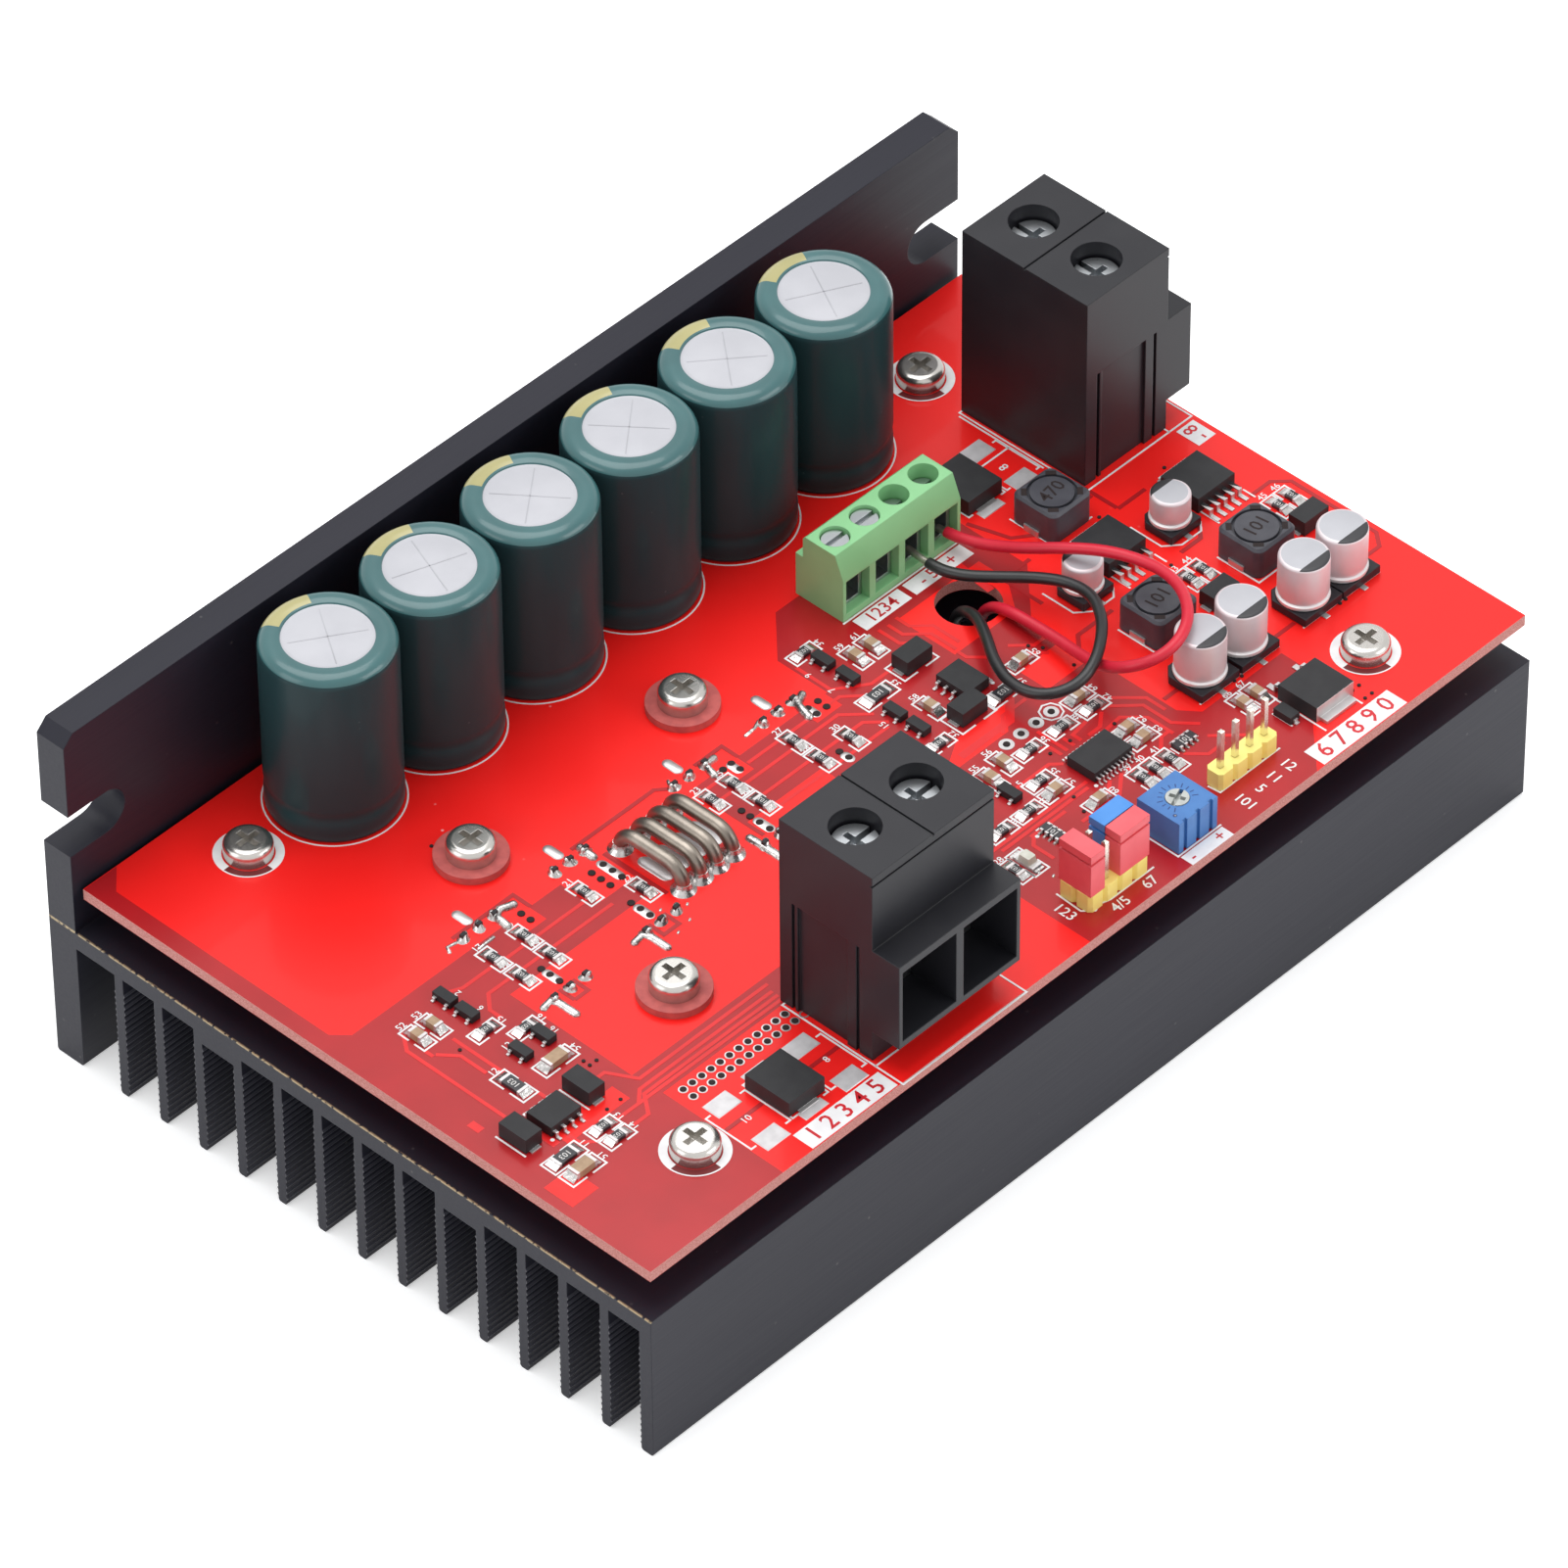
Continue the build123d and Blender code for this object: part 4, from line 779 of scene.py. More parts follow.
class Draft:
    """A mesh being built, in millimetres. Each face holds the number of its finish."""

    def __init__(self, *finishes: Finish) -> None:
        self.finishes = finishes
        self.mesh = bmesh.new()
        self.number = 0

    def use(self, finish: Finish) -> "Draft":
        """Faces added from here on have this finish."""
        self.number = self.finishes.index(finish)
        return self

    def loop(self, points: Iterable[Triple]) -> list[Corner]:
        """Adds corners."""
        return [self.mesh.verts.new(point) for point in points]

    def face(self, corners: Iterable[Corner]) -> None:
        """Adds a face, in which a corner that comes twice counts once."""
        once = list(dict.fromkeys(corners))
        if len(once) > 2:
            self.mesh.faces.new(once).material_index = self.number

    def join(self, first: Sequence[Corner], second: Sequence[Corner]) -> None:
        """Adds the band of faces between two loops, of which one may be a single corner."""
        for n in range(max(len(first), len(second))):
            spots = ((first, n), (first, n + 1), (second, n + 1), (second, n))
            self.face(loop[spot % len(loop)] for loop, spot in spots)

    def skin(self, loops: Sequence[Sequence[Corner]], closed: bool = False) -> None:
        """Joins loops, each to the next.

        Args:
            loops: The loops.
            closed: Whether the last joins the first; otherwise those two are filled.
        """
        for first, second in zip(loops, loops[1:]):
            self.join(first, second)
        if closed:
            self.join(loops[-1], loops[0])
        else:
            self.face(loops[0])
            self.face(loops[-1])

    def prism(self, outline: Sequence[Pair], low: float, high: float, inset: float = 0.0) -> None:
        """Adds an upright prism.

        Args:
            outline: Its corners, anticlockwise from above.
            low: Height of its foot.
            high: Height of its top.
            inset: How far the top draws in towards the middle.
        """
        middle = sum((Vector(corner) for corner in outline), Vector((0, 0))) / len(outline)
        top = []
        for corner in outline:
            arm = Vector(corner) - middle
            top.append((*(middle + arm * (1 - inset / max(arm.length, 1e-9))), high))
        self.skin([self.loop((x, y, low) for x, y in outline), self.loop(top)])

    def block(
        self, centre: Pair, size: Pair, low: float, high: float, inset: float = 0.0,
        cut: float = 0.0,
    ) -> None:
        """Adds a box.

        Args:
            centre: Its middle from above.
            size: Its width and depth.
            low: Height of its foot.
            high: Height of its top.
            inset: How far the top draws in towards the middle.
            cut: How far the four upright edges are cut back.
        """
        (x, y), (w, d) = centre, (size[0] / 2, size[1] / 2)
        corners = [(-w, -d), (w, -d), (w, d), (-w, d)]
        if cut:
            corners = [
                (-w + cut, -d), (w - cut, -d), (w, -d + cut), (w, d - cut),
                (w - cut, d), (-w + cut, d), (-w, d - cut), (-w, -d + cut),
            ]
        self.prism([(x + a, y + b) for a, b in corners], low, high, inset)

    def _around(self, centre: Pair, turns: Iterable[float], radius: float, height: float) -> list:
        x, y = centre
        spots = [(x + radius * math.cos(t), y + radius * math.sin(t)) for t in turns]
        return self.loop((*spot, height) for spot in spots)

    def lathe(
        self, section: Sequence[tuple], centre: Pair = (0.0, 0.0), steps: int = 48
    ) -> None:
        """Turns a section about an upright axis.

        Args:
            section: Radius, height and, where it changes there, finish of each point, foot first.
            centre: Place of the axis.
            steps: Faces round it.
        """
        turns = [2 * math.pi * n / steps for n in range(steps)]
        rings = [
            self._around(centre, turns if radius else turns[:1], radius, height)
            for radius, height, *_ in section
        ]
        for (lower, upper), (_, _, *finish) in zip(zip(rings, rings[1:]), section):
            if finish:
                self.use(finish[0])
            self.join(lower, upper)

    def dot(self, spot: Pair, radius: float, low: float, top: float, steps: int = 12) -> None:
        """Adds a small round plate."""
        self.lathe([(0, low), (radius, low), (radius, top), (0, top)], spot, steps)

    def ring(
        self, centre: Pair, inner: float, outer: float, low: float, high: float,
        start: float = 0.0, end: float = 360.0, steps: int = 48,
    ) -> None:
        """Adds a flat ring or part of one.

        Args:
            centre: Its middle.
            inner: Radius of its hole.
            outer: Radius of its rim.
            low: Its underside.
            high: Its upper side.
            start: Angle in degrees at which it starts.
            end: Angle in degrees at which it ends.
            steps: Sides of a whole ring.
        """
        whole = end - start >= 360
        count = max(3, round(steps * (end - start) / 360))
        turns = [
            math.radians(start + (end - start) * n / count) for n in range(count + (not whole))
        ]
        section = ((inner, low), (outer, low), (outer, high), (inner, high))
        circles = [self._around(centre, turns, radius, height) for radius, height in section]
        self.skin(list(zip(*circles)), whole)

    def ribbon(
        self, path: Sequence[Pair], width: float, low: float, high: float, closed: bool = False
    ) -> None:
        """Adds a flat strip with mitred corners along a path.

        Args:
            path: Middle of the strip.
            width: Its width.
            low: Its underside.
            high: Its upper side.
            closed: Whether the last point joins the first.
        """
        points = [Vector(point) for point in path]
        count = len(points)
        sections = []
        for n, point in enumerate(points):
            before = points[n - 1] if n or closed else None
            after = points[(n + 1) % count] if n < count - 1 or closed else None
            ways = [(b - a).normalized() for a, b in ((before, point), (point, after)) if a and b]
            normals = [Vector((-way.y, way.x)) for way in ways]
            mitre = sum(normals, Vector((0, 0))).normalized()
            reach = mitre * (width / 2 / max(0.4, mitre.dot(normals[0])))
            left, right = point + reach, point - reach
            sections.append(
                self.loop([(*left, low), (*right, low), (*right, high), (*left, high)])
            )
        self.skin(sections, closed)

    def spoke(
        self, centre: Pair, degrees: float, reach: Pair, width: float, low: float, high: float
    ) -> None:
        """Adds a straight strip that points away from a centre.

        Args:
            centre: The centre.
            degrees: The strip's direction, anticlockwise from X.
            reach: Distances from the centre at which it starts and ends.
            width: Its width.
            low: Its underside.
            high: Its upper side.
        """
        way = compass(degrees)
        path = [(centre[0] + way.x * far, centre[1] + way.y * far) for far in reach]
        self.ribbon(path, width, low, high)

    def bead(self, path: Sequence[Pair], width: float, height: float) -> None:
        """Adds a rounded bead of solder along a path, with round ends.

        Args:
            path: Middle of the bead.
            width: Its width.
            height: Its height.
        """
        points = [Vector(point) for point in path]
        ways = [(after - before).normalized() for before, after in zip(points, points[1:])]
        rounds, sides, thinnest = 4, 6, 0.12
        turns = [math.pi / 2 * n / rounds for n in range(rounds)]
        first, last = ways[0] * width / 2, ways[-1] * width / 2
        stations = [(points[0] - first * math.cos(t), ways[0], math.sin(t)) for t in turns]
        for n, point in enumerate(points):
            way = (ways[max(n - 1, 0)] + ways[min(n, len(ways) - 1)]).normalized()
            stations.append((point, way, 1.0))
        stations += [
            (points[-1] + last * math.cos(t), ways[-1], math.sin(t)) for t in reversed(turns)
        ]
        sections = []
        for middle, way, share in stations:
            share = max(share, thinnest)
            side = Vector((-way.y, way.x)) * width / 2 * share
            arc = [math.pi * n / sides for n in range(sides + 1)]
            sections.append(
                self.loop(
                    (*(middle + side * math.cos(t)), height * share * math.sin(t)) for t in arc
                )
            )
        self.skin(sections)

    def letters(
        self, body: str, place: Pair, height: float, turn: float = 0.0, level: float = 0.05
    ) -> None:
        """Adds flat figures, centred on a place.

        Args:
            body: The figures or signs.
            place: Their middle.
            height: Their height.
            turn: Their turn in degrees, anticlockwise.
            level: Height of their face.
        """
        curve = bpy.data.curves.new("figures", "FONT")
        curve.body = body
        curve.size = height * 1.38
        curve.align_x, curve.align_y = "CENTER", "CENTER"
        curve.resolution_u = 2
        curve.offset = 0.012 * height
        mesh = mesh_of_curve(curve)
        move = Matrix.Translation((*place, level)) @ Matrix.Rotation(math.radians(turn), 4, "Z")
        mesh.transform(move)
        start = len(self.mesh.faces)
        self.mesh.from_mesh(mesh)
        self.mesh.faces.ensure_lookup_table()
        for made in self.mesh.faces[start:]:
            made.material_index = self.number
        bpy.data.meshes.remove(mesh)

    def done(self, name: str, move: Matrix) -> bpy.types.Mesh:
        """Closes the draft.

        Args:
            name: The mesh's name.
            move: Takes the draft's units to metres in the frame.

        Returns:
            The mesh, with its finishes as materials and as the face attribute finish.
        """
        bmesh.ops.remove_doubles(self.mesh, verts=self.mesh.verts, dist=WELD_MM)
        bmesh.ops.recalc_face_normals(self.mesh, faces=self.mesh.faces)
        self.mesh.transform(move)
        mesh = finished(self.mesh, name, self.finishes)
        attribute = mesh.attributes.new("finish", "INT", "FACE")
        attribute.data.foreach_set("value", [face.material_index for face in mesh.polygons])
        return mesh

    def piece(self, name: str, slot: str, **options: "Sequence[str] | float") -> None:
        """Makes the draft, in millimetres from the datum, a piece, with place_piece's options."""
        place_piece(name, self.done(name, DATUM.home()), slot, **options)


def mesh_of_curve(curve: bpy.types.Curve) -> bpy.types.Mesh:
    """The mesh of a curve, which is removed."""
    holder = bpy.data.objects.new(curve.name, curve)
    mesh = bpy.data.meshes.new_from_object(holder)
    bpy.data.objects.remove(holder)
    bpy.data.curves.remove(curve)
    return mesh


class Growth:
    """A Geometry Nodes tree with named inputs."""

    def __init__(self, name: str) -> None:
        self.tree = bpy.data.node_groups.new(name, "GeometryNodeTree")
        self.keys: dict[str, str] = {}
        self.tree.interface.new_socket(
            "Geometry", in_out="OUTPUT", socket_type="NodeSocketGeometry"
        )
        self.entry = self.tree.nodes.new("NodeGroupInput")
        self.points = self.input("Geometry", "Geometry")

    def input(self, name: str, kind: str) -> bpy.types.NodeSocket:
        """Adds a named input."""
        made = self.tree.interface.new_socket(name, in_out="INPUT", socket_type=f"NodeSocket{kind}")
        self.keys[name] = made.identifier
        return self.entry.outputs[name]

    def add(self, kind: str, values: dict, output: int | str = 0) -> bpy.types.NodeSocket:
        """Adds a node, as Nodes.add does for shaders."""
        return add_node(self.tree, kind, None, values).outputs[output]

    def attribute(self, name: str, kind: str) -> bpy.types.NodeSocket:
        """Reads an attribute of the carrier or source."""
        settings, values = {"data_type": kind}, {"Name": name}
        return add_node(self.tree, "GeometryNodeInputNamedAttribute", settings, values).outputs[0]

    def end(self, instances: bpy.types.NodeSocket, finishes: int) -> "Growth":
        """Ends the tree: real geometry, then a material for each finish number.

        Args:
            instances: What the tree has made so far.
            finishes: How many finishes there are.

        Returns:
            The tree itself.
        """
        shape = self.add("GeometryNodeRealizeInstances", {0: instances})
        for number in range(finishes):
            values = {
                0: shape,
                "Selection": self._is_finish(number),
                "Material": self.input(f"Finish {number}", "Material"),
            }
            shape = self.add("GeometryNodeSetMaterial", values)
        add_node(self.tree, "NodeGroupOutput", None, {0: shape})
        return self

    def _is_finish(self, number: int) -> bpy.types.NodeSocket:
        settings = {"data_type": "INT", "operation": "EQUAL"}
        node = add_node(self.tree, "FunctionNodeCompare", settings)
        first, second = [socket for socket in node.inputs if socket.enabled][:2]
        self.tree.links.new(self.attribute("finish", "INT"), first)
        second.default_value = number
        return node.outputs[0]

    def grow(
        self, name: str, carrier: bpy.types.Mesh, source: bpy.types.Object,
        finishes: Sequence[Finish],
    ) -> bpy.types.Mesh:
        """Runs the tree once.

        Args:
            name: Name of the mesh that comes out.
            carrier: The mesh that goes in.
            source: What is copied to each of its points.
            finishes: Finishes in the order of their numbers.

        Returns:
            The plain mesh.
        """
        holder = add_object(name, carrier)
        modifier = holder.modifiers.new(name, "NODES")
        modifier.node_group = self.tree
        modifier[self.keys["Source"]] = source
        for number, finish in enumerate(finishes):
            modifier[self.keys[f"Finish {number}"]] = material_of(finish)
        bpy.context.view_layer.update()
        evaluated = holder.evaluated_get(bpy.context.evaluated_depsgraph_get())
        mesh = bpy.data.meshes.new_from_object(evaluated)
        holder.modifiers.remove(modifier)
        bpy.data.objects.remove(holder)
        return mesh


@functools.cache
def scatter_tree(finishes: int) -> Growth:
    """Copies a source to each point of a carrier, turned by the point's attribute turn."""
    growth = Growth(f"scatter_{finishes}")
    source = growth.input("Source", "Object")
    shape = growth.add("GeometryNodeObjectInfo", {"Object": source}, "Geometry")
    angles = growth.add("ShaderNodeCombineXYZ", {"Z": growth.attribute("turn", "FLOAT")})
    turned = growth.add("FunctionNodeEulerToRotation", {0: angles})
    copies = {"Points": growth.points, "Instance": shape, "Rotation": turned}
    return growth.end(growth.add("GeometryNodeInstanceOnPoints", copies), finishes)


def scatter(name: str, draft: Draft, places: Sequence[tuple[Vector, float]]) -> bpy.types.Mesh:
    """Puts a copy of a draft at each place.

    Args:
        name: Name of the mesh that comes out.
        draft: The source, in millimetres about its own origin.
        places: Places in the frame, in metres, each with its turn in degrees.

    Returns:
        One mesh of all the copies.
    """
    finishes = draft.finishes
    mesh = draft.done(f"{name}_source", Matrix.Scale(MM, 4))
    source = bpy.data.objects.new(f"{name}_source", mesh)
    carrier = bpy.data.meshes.new(f"{name}_places")
    carrier.from_pydata([tuple(place) for place, _ in places], [], [])
    turns = carrier.attributes.new("turn", "FLOAT", "POINT")
    turns.data.foreach_set("value", [math.radians(turn) for _, turn in places])
    mesh = scatter_tree(len(finishes)).grow(name, carrier, source, finishes)
    bpy.data.objects.remove(source)
    return mesh


def upright(box: Box) -> tuple[Vector, float]:
    """Place and turn of a small part whose source lies along Y."""
    return DATUM.at(*box.centre), 90.0 if box.lies_along_x else 0.0


def outside_case(case: Pair, box: Box, middle: Vector) -> int:
    """1 where a face of a leaded chip lies outside its moulded case.

    Args:
        case: The case's size across the leads and along them.
        box: The chip's box.
        middle: Middle of the face.

    Returns:
        The finish's number.
    """
    across_x = abs(box.size[1] - case[1]) < abs(box.size[0] - case[1])
    sides = case if across_x else case[::-1]
    beyond = [abs(middle[n] - box.centre[n]) - sides[n] / 2 for n in (0, 1)]
    return int(max(beyond) > 0.03)


def diode_lead(box: Box, middle: Vector) -> int:
    """1 where a face belongs to the lead of a small diode."""
    along = 0 if box.lies_along_x else 1
    half = box.size[along] / 2
    inset = 0.45 if half > 2.2 else 0.5
    return int(abs(middle[along] - box.centre[along]) > half - inset + 0.03)


# Wires, as points from the left edge, the front edge and the top of the board
BLACK_ROUTE = (
    (107, 60.5, 2.4), (106.6, 56.4, 2.3), (107.5, 52.5, 2.6), (109.8, 48.6, 3.3), (112, 44.7, 4.2),
    (113.5, 40.9, 4.9), (113.5, 37, 5.3), (111.3, 33.4, 5.6), (108.2, 30.6, 5.8),
    (104.8, 28.5, 5.6), (101.6, 27.9, 4.8), (98.7, 29.3, 4), (97.2, 32.2, 3.4), (97.4, 35.7, 3.1),
    (99, 39.3, 3), (101.4, 42.7, 3), (103.6, 46, 2.4), (104.9, 49.2, 0.9), (106, 51.8, -2.2),
    (106.5, 52.8, -6), (106.4, 52.9, -9.6), (105.9, 52.8, -12.8), (104.7, 52.6, -15.5),
    (102.95, 52.3, -17.2),
)
RED_ROUTE = (
    (112.1, 60.5, 2.4), (112.4, 57, 2.4), (113.3, 52.9, 3.3), (114.4, 48.3, 5), (116.1, 43.7, 6.8),
    (118, 39.4, 7.8), (119.3, 35.3, 8.2), (119.5, 31.1, 8.7), (118.4, 27.2, 9), (116.1, 24.1, 9.1),
    (113.4, 22.1, 9.1), (110.4, 21.4, 8.5), (107.6, 22.5, 7.4), (106.1, 25.2, 5.8),
    (106.2, 28.7, 3.8), (107, 32.8, 2.5), (107.7, 37, 1.9), (107.9, 41, 1.6), (107.9, 44.8, 1.4),
    (108.2, 48.1, 0.1), (108.7, 50.4, -3.2), (108.9, 50.7, -7.1), (108.3, 50.2, -10.9),
    (106.9, 49.7, -14), (105, 49.3, -16.3), (102.95, 49, -17.5),
)


@dataclass
class FanWire:
    """One of the fan's two wires: a stripped, tinned end in the terminal, then insulation."""

    node: str
    route: Sequence[Triple]
    finish: Finish
    slot: str
    stripped: float
    diameter: float = 1.45
    strand: float = 0.95
    around: int = 14

    def centreline(self) -> list[Vector]:
        """Points along the smooth spline that the route controls.

        Returns:
            The points, in metres in the frame.
        """
        curve = bpy.data.curves.new(f"{self.node}_line", "CURVE")
        curve.dimensions = "3D"
        curve.resolution_u = 10
        spline = curve.splines.new("NURBS")
        spline.points.add(len(self.route) - 1)
        for point, place in zip(spline.points, self.route):
            point.co = (*DATUM.at(*place), 1.0)
        spline.order_u = 3
        spline.use_endpoint_u = True
        mesh = mesh_of_curve(curve)
        points = [vertex.co.copy() for vertex in mesh.vertices]
        bpy.data.meshes.remove(mesh)
        return points

    def build(self) -> None:
        line = self.centreline()
        along = [0.0]
        for before, after in zip(line, line[1:]):
            along.append(along[-1] + (after - before).length)
        bares = [reach < self.stripped * MM for reach in along]
        draft = Draft(self.finish, STRAND)
        rings, side = [], Vector((1, 0, 0))
        for n, (point, bare) in enumerate(zip(line, bares)):
            way = (line[min(n + 1, len(line) - 1)] - line[max(n - 1, 0)]).normalized()
            side = (side - way * side.dot(way)).normalized()
            axes = (side, way.cross(side))
            width = self.strand if bare else self.diameter
            rings.append((self._ring(draft, point, axes, width), STRAND if bare else self.finish))
            if bare and not bares[n + 1]:
                end = self._ring(draft, point, axes, self.diameter * 0.94)
                rings.append((end, self.finish))
        for (lower, finish), (upper, _) in zip(rings, rings[1:]):
            draft.use(finish).join(lower, upper)
        for ring, finish in (rings[0], rings[-1]):
            draft.use(finish).face(ring)
        mesh = draft.done(self.node, Matrix.Identity(4))
        piece = place_piece(f"{self.node}_lead", mesh, self.slot, [self.node], smooth=50)

    def _ring(self, draft: Draft, point: Vector, axes: tuple[Vector, Vector], width: float) -> list:
        turns = [2 * math.pi * n / self.around for n in range(self.around)]
        radius = width / 2 * MM
        return draft.loop(
            point + (axes[0] * math.cos(t) + axes[1] * math.sin(t)) * radius for t in turns
        )


@dataclass
class Heatsink:
    """The extrusion, with fine ridges drawn along both faces of every fin, painted lighter than the
    anodising as painted light.
    """

    ridge_pitch: float = 0.95
    ridge_height: float = 0.16
    ridge_width: float = 0.55
    ridge_count: int = 18
    first_ridge: float = 1.1
    top_margin: float = 4.3
    fin_thickness: float = 1.35
    fin_pitch: float = 6.5
    first_fin: float = 7.35
    fin_count: int = 13
    front_wall: float = 1.85
    pocket_gap: float = 0.4
    notch: Pair = (46.4, 54.6)
    notch_end: float = 110.9

    def runs(self) -> list[tuple[float, float, float, int]]:
        """Stretches of fin between the ends and the fan's pocket.

        Returns:
            Start and end along X, Y of the face, and the way that it looks.
        """
        low, high = (DATUM.back_to_mm(corner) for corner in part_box("fan_frame"))
        (x0, y0), (x1, y1) = (
            [value + way * self.pocket_gap for value in corner[:2]]
            for corner, way in ((low, -1), (high, 1))
        )
        length = (DATUM.right - DATUM.left) / MM
        faces = [(self.front_wall, 1)]
        for n in range(self.fin_count):
            middle = self.first_fin + n * self.fin_pitch
            faces += [(middle + way * self.fin_thickness / 2, way) for way in (-1, 1)]
        found = []
        for y, way in faces:
            if y0 < y < y1:
                right = self.notch_end if self.notch[0] < y < self.notch[1] else x1
                found += [(0.0, x0, y, way), (right, length, y, way)]
            else:
                found.append((0.0, length, y, way))
        return found

    def build(self) -> None:
        """Dresses the extrusion and adds the ridges."""
        dress("heatsink", ANODISED)
        # The ridges' lighter colour is painted light that stands in for light reaching between the
        # fins.
        draft = Draft(RIDGES_PAINTED_LIGHT)
        half = self.ridge_width / 2
        foot = -DATUM.board_top / MM + self.first_ridge
        highest = (DATUM.base_top - DATUM.board_top) / MM - self.top_margin
        for start, end, y, way in self.runs():
            for n in range(self.ridge_count):
                z = foot + n * self.ridge_pitch
                if z + half <= highest:
                    section = ((y, z - half), (y + way * self.ridge_height, z), (y, z + half))
                    draft.skin([draft.loop((x, *spot) for spot in section) for x in (start, end)])
        draft.piece("fin_ridges", "anodised_black")


@dataclass
class LargeCapacitor:
    """A can in a green sleeve that wraps its shoulder, with a bare scored top."""

    number: int
    disc: float = 5.5
    shoulder: float = 1.5
    crimp: float = 3.7
    crimp_depth: float = 0.22
    crimp_reach: float = 1.3
    mark: Pair = (64.0, 119.0)
    score: float = 0.14
    score_turns: Sequence[float] = (-33.0, -20.0, -52.0, -51.0, -40.0, -28.0)
    steps: int = 96

    def build(self) -> None:
        """Makes the sleeve and the top."""
        node = f"capacitor_{self.number}"
        box = solids(node)[0]
        radius, height = box.size[0] / 2, box.size[2]
        # The side takes the sleeve copy darkened with painted shade; the shoulder's upper part takes
        # the lighter, lit copy.
        section = [(radius - 0.9, 0.0, SLEEVE_SIDE_SHADED), (radius - 0.25, 0.15), (radius, 0.7)]
        for n in range(-4, 5):
            dip = self.crimp_depth * (0.5 + 0.5 * math.cos(math.pi * n / 4))
            section.append((radius - dip, self.crimp + n / 4 * self.crimp_reach))
        for n in range(9):
            turn = math.pi / 2 * n / 8
            inward, downward = (self.shoulder * (1 - part(turn)) for part in (math.cos, math.sin))
            finish = (SLEEVE_TOP_LIT,) if n == 2 else ()
            section.append((radius - inward, height - downward, *finish))
        rim = ((0.28, -0.02), (0.08, -0.1), (0.0, -0.3, CAN_TOP), (-0.12, -0.34), (-0.5, -0.3))
        section += [(self.disc + out, height + up, *finish) for out, up, *finish in rim]
        draft = Draft(SLEEVE_SIDE_SHADED, SLEEVE_MARK, CAN_TOP, SLEEVE_TOP_LIT)
        draft.lathe([*section, (0, height - 0.3)], box.centre, self.steps)
        self._mark(draft, box.centre, height)
        draft.piece(f"{node}_sleeved", "sleeve_green", stands_for=[node], smooth=40)
        lines = Draft(CAN_SCORE)
        start, reach = self.score_turns[self.number - 1], self.disc - 0.7
        for turn in (start, start + 90):
            lines.spoke(
                box.centre, turn, (-reach, reach), self.score, height - 0.31, height - 0.27
            )
        lines.piece(f"{node}_score", "can_aluminium")

    def _mark(self, draft: Draft, centre: Pair, height: float) -> None:
        for made in draft.mesh.faces:
            middle = made.calc_center_median()
            arm = middle.to_2d() - Vector(centre)
            turn = math.degrees(math.atan2(arm.y, arm.x)) % 360
            on_ring = middle.z > height - 0.75 and arm.length > self.disc + 0.2
            if on_ring and self.mark[0] < turn < self.mark[1]:
                made.material_index = draft.finishes.index(SLEEVE_MARK)


@dataclass
class CanCapacitor:
    """A small aluminium can on a black base, its top partly printed dark."""

    node: str
    dark_way: float
    dark_share: float = 0.5
    base: float = 1.3
    rounding: float = 0.4
    print_depth: float = 0.15
    steps: int = 64

    def build(self) -> None:
        """Makes can, print and base."""
        box = solids(self.node)[0]
        x, y = box.centre
        side, height = box.size[0], box.size[2]
        radius = (side - 0.3) / 2
        collar = (
            (-0.35, -0.2, CAN_FOOT), (-0.1, 0.02), (0.08, 0.1), (0.14, 0.3), (0.1, 0.55),
            (-0.16, 0.72, CAN_SIDE), (-0.1, 0.95), (0.0, 1.3),
        )
        section = [(radius + out, self.base + up, *finish) for out, up, *finish in collar]
        for n in range(6):
            inward, downward = (
                self.rounding * (1 - part(math.pi / 2 * n / 5)) for part in (math.cos, math.sin)
            )
            section.append((radius - inward, height - downward))
        section[-1] += (CAN_TOP,)
        draft = Draft(CAN_SIDE, CAN_MARK, CAN_FOOT, CAN_TOP)
        draft.lathe([*section, (0, height)], box.centre, self.steps)
        self._print(draft, Vector((x, y, height)), radius)
        draft.piece(f"{self.node}_can", "can_aluminium", stands_for=[self.node], smooth=40)
        foot = Draft(BLACK_PLASTIC, TINNED)
        half, cut = side / 2, side * 0.2
        outline = (
            (-half, -half), (half, -half), (half, half - cut), (half - cut, half),
            (cut - half, half), (-half, half - cut),
        )
        foot.use(BLACK_PLASTIC).prism([(x + a, y + b) for a, b in outline], 0.12, self.base)
        foot.use(TINNED)
        for way in (-1, 1):
            foot.block((x, y + way * (half + 0.1)), (0.8, 1.4), 0.0, 0.16)
        foot.piece(f"{self.node}_base", "can_aluminium", bevel=0.08)

    def _print(self, draft: Draft, top: Vector, radius: float) -> None:
        way = compass(self.dark_way).to_3d()
        cut = top + way * radius * self.dark_share
        floor = top.z - self.print_depth
        faces = [face for face in draft.mesh.faces if face.calc_center_median().z > floor]
        edges = {edge for face in faces for edge in face.edges}
        corners = {corner for face in faces for corner in face.verts}
        bmesh.ops.bisect_plane(
            draft.mesh, geom=[*faces, *edges, *corners], plane_co=cut, plane_no=way
        )
        for made in draft.mesh.faces:
            middle = made.calc_center_median()
            if middle.z > floor and (middle - cut).dot(way) > 0:
                made.material_index = draft.finishes.index(CAN_MARK)


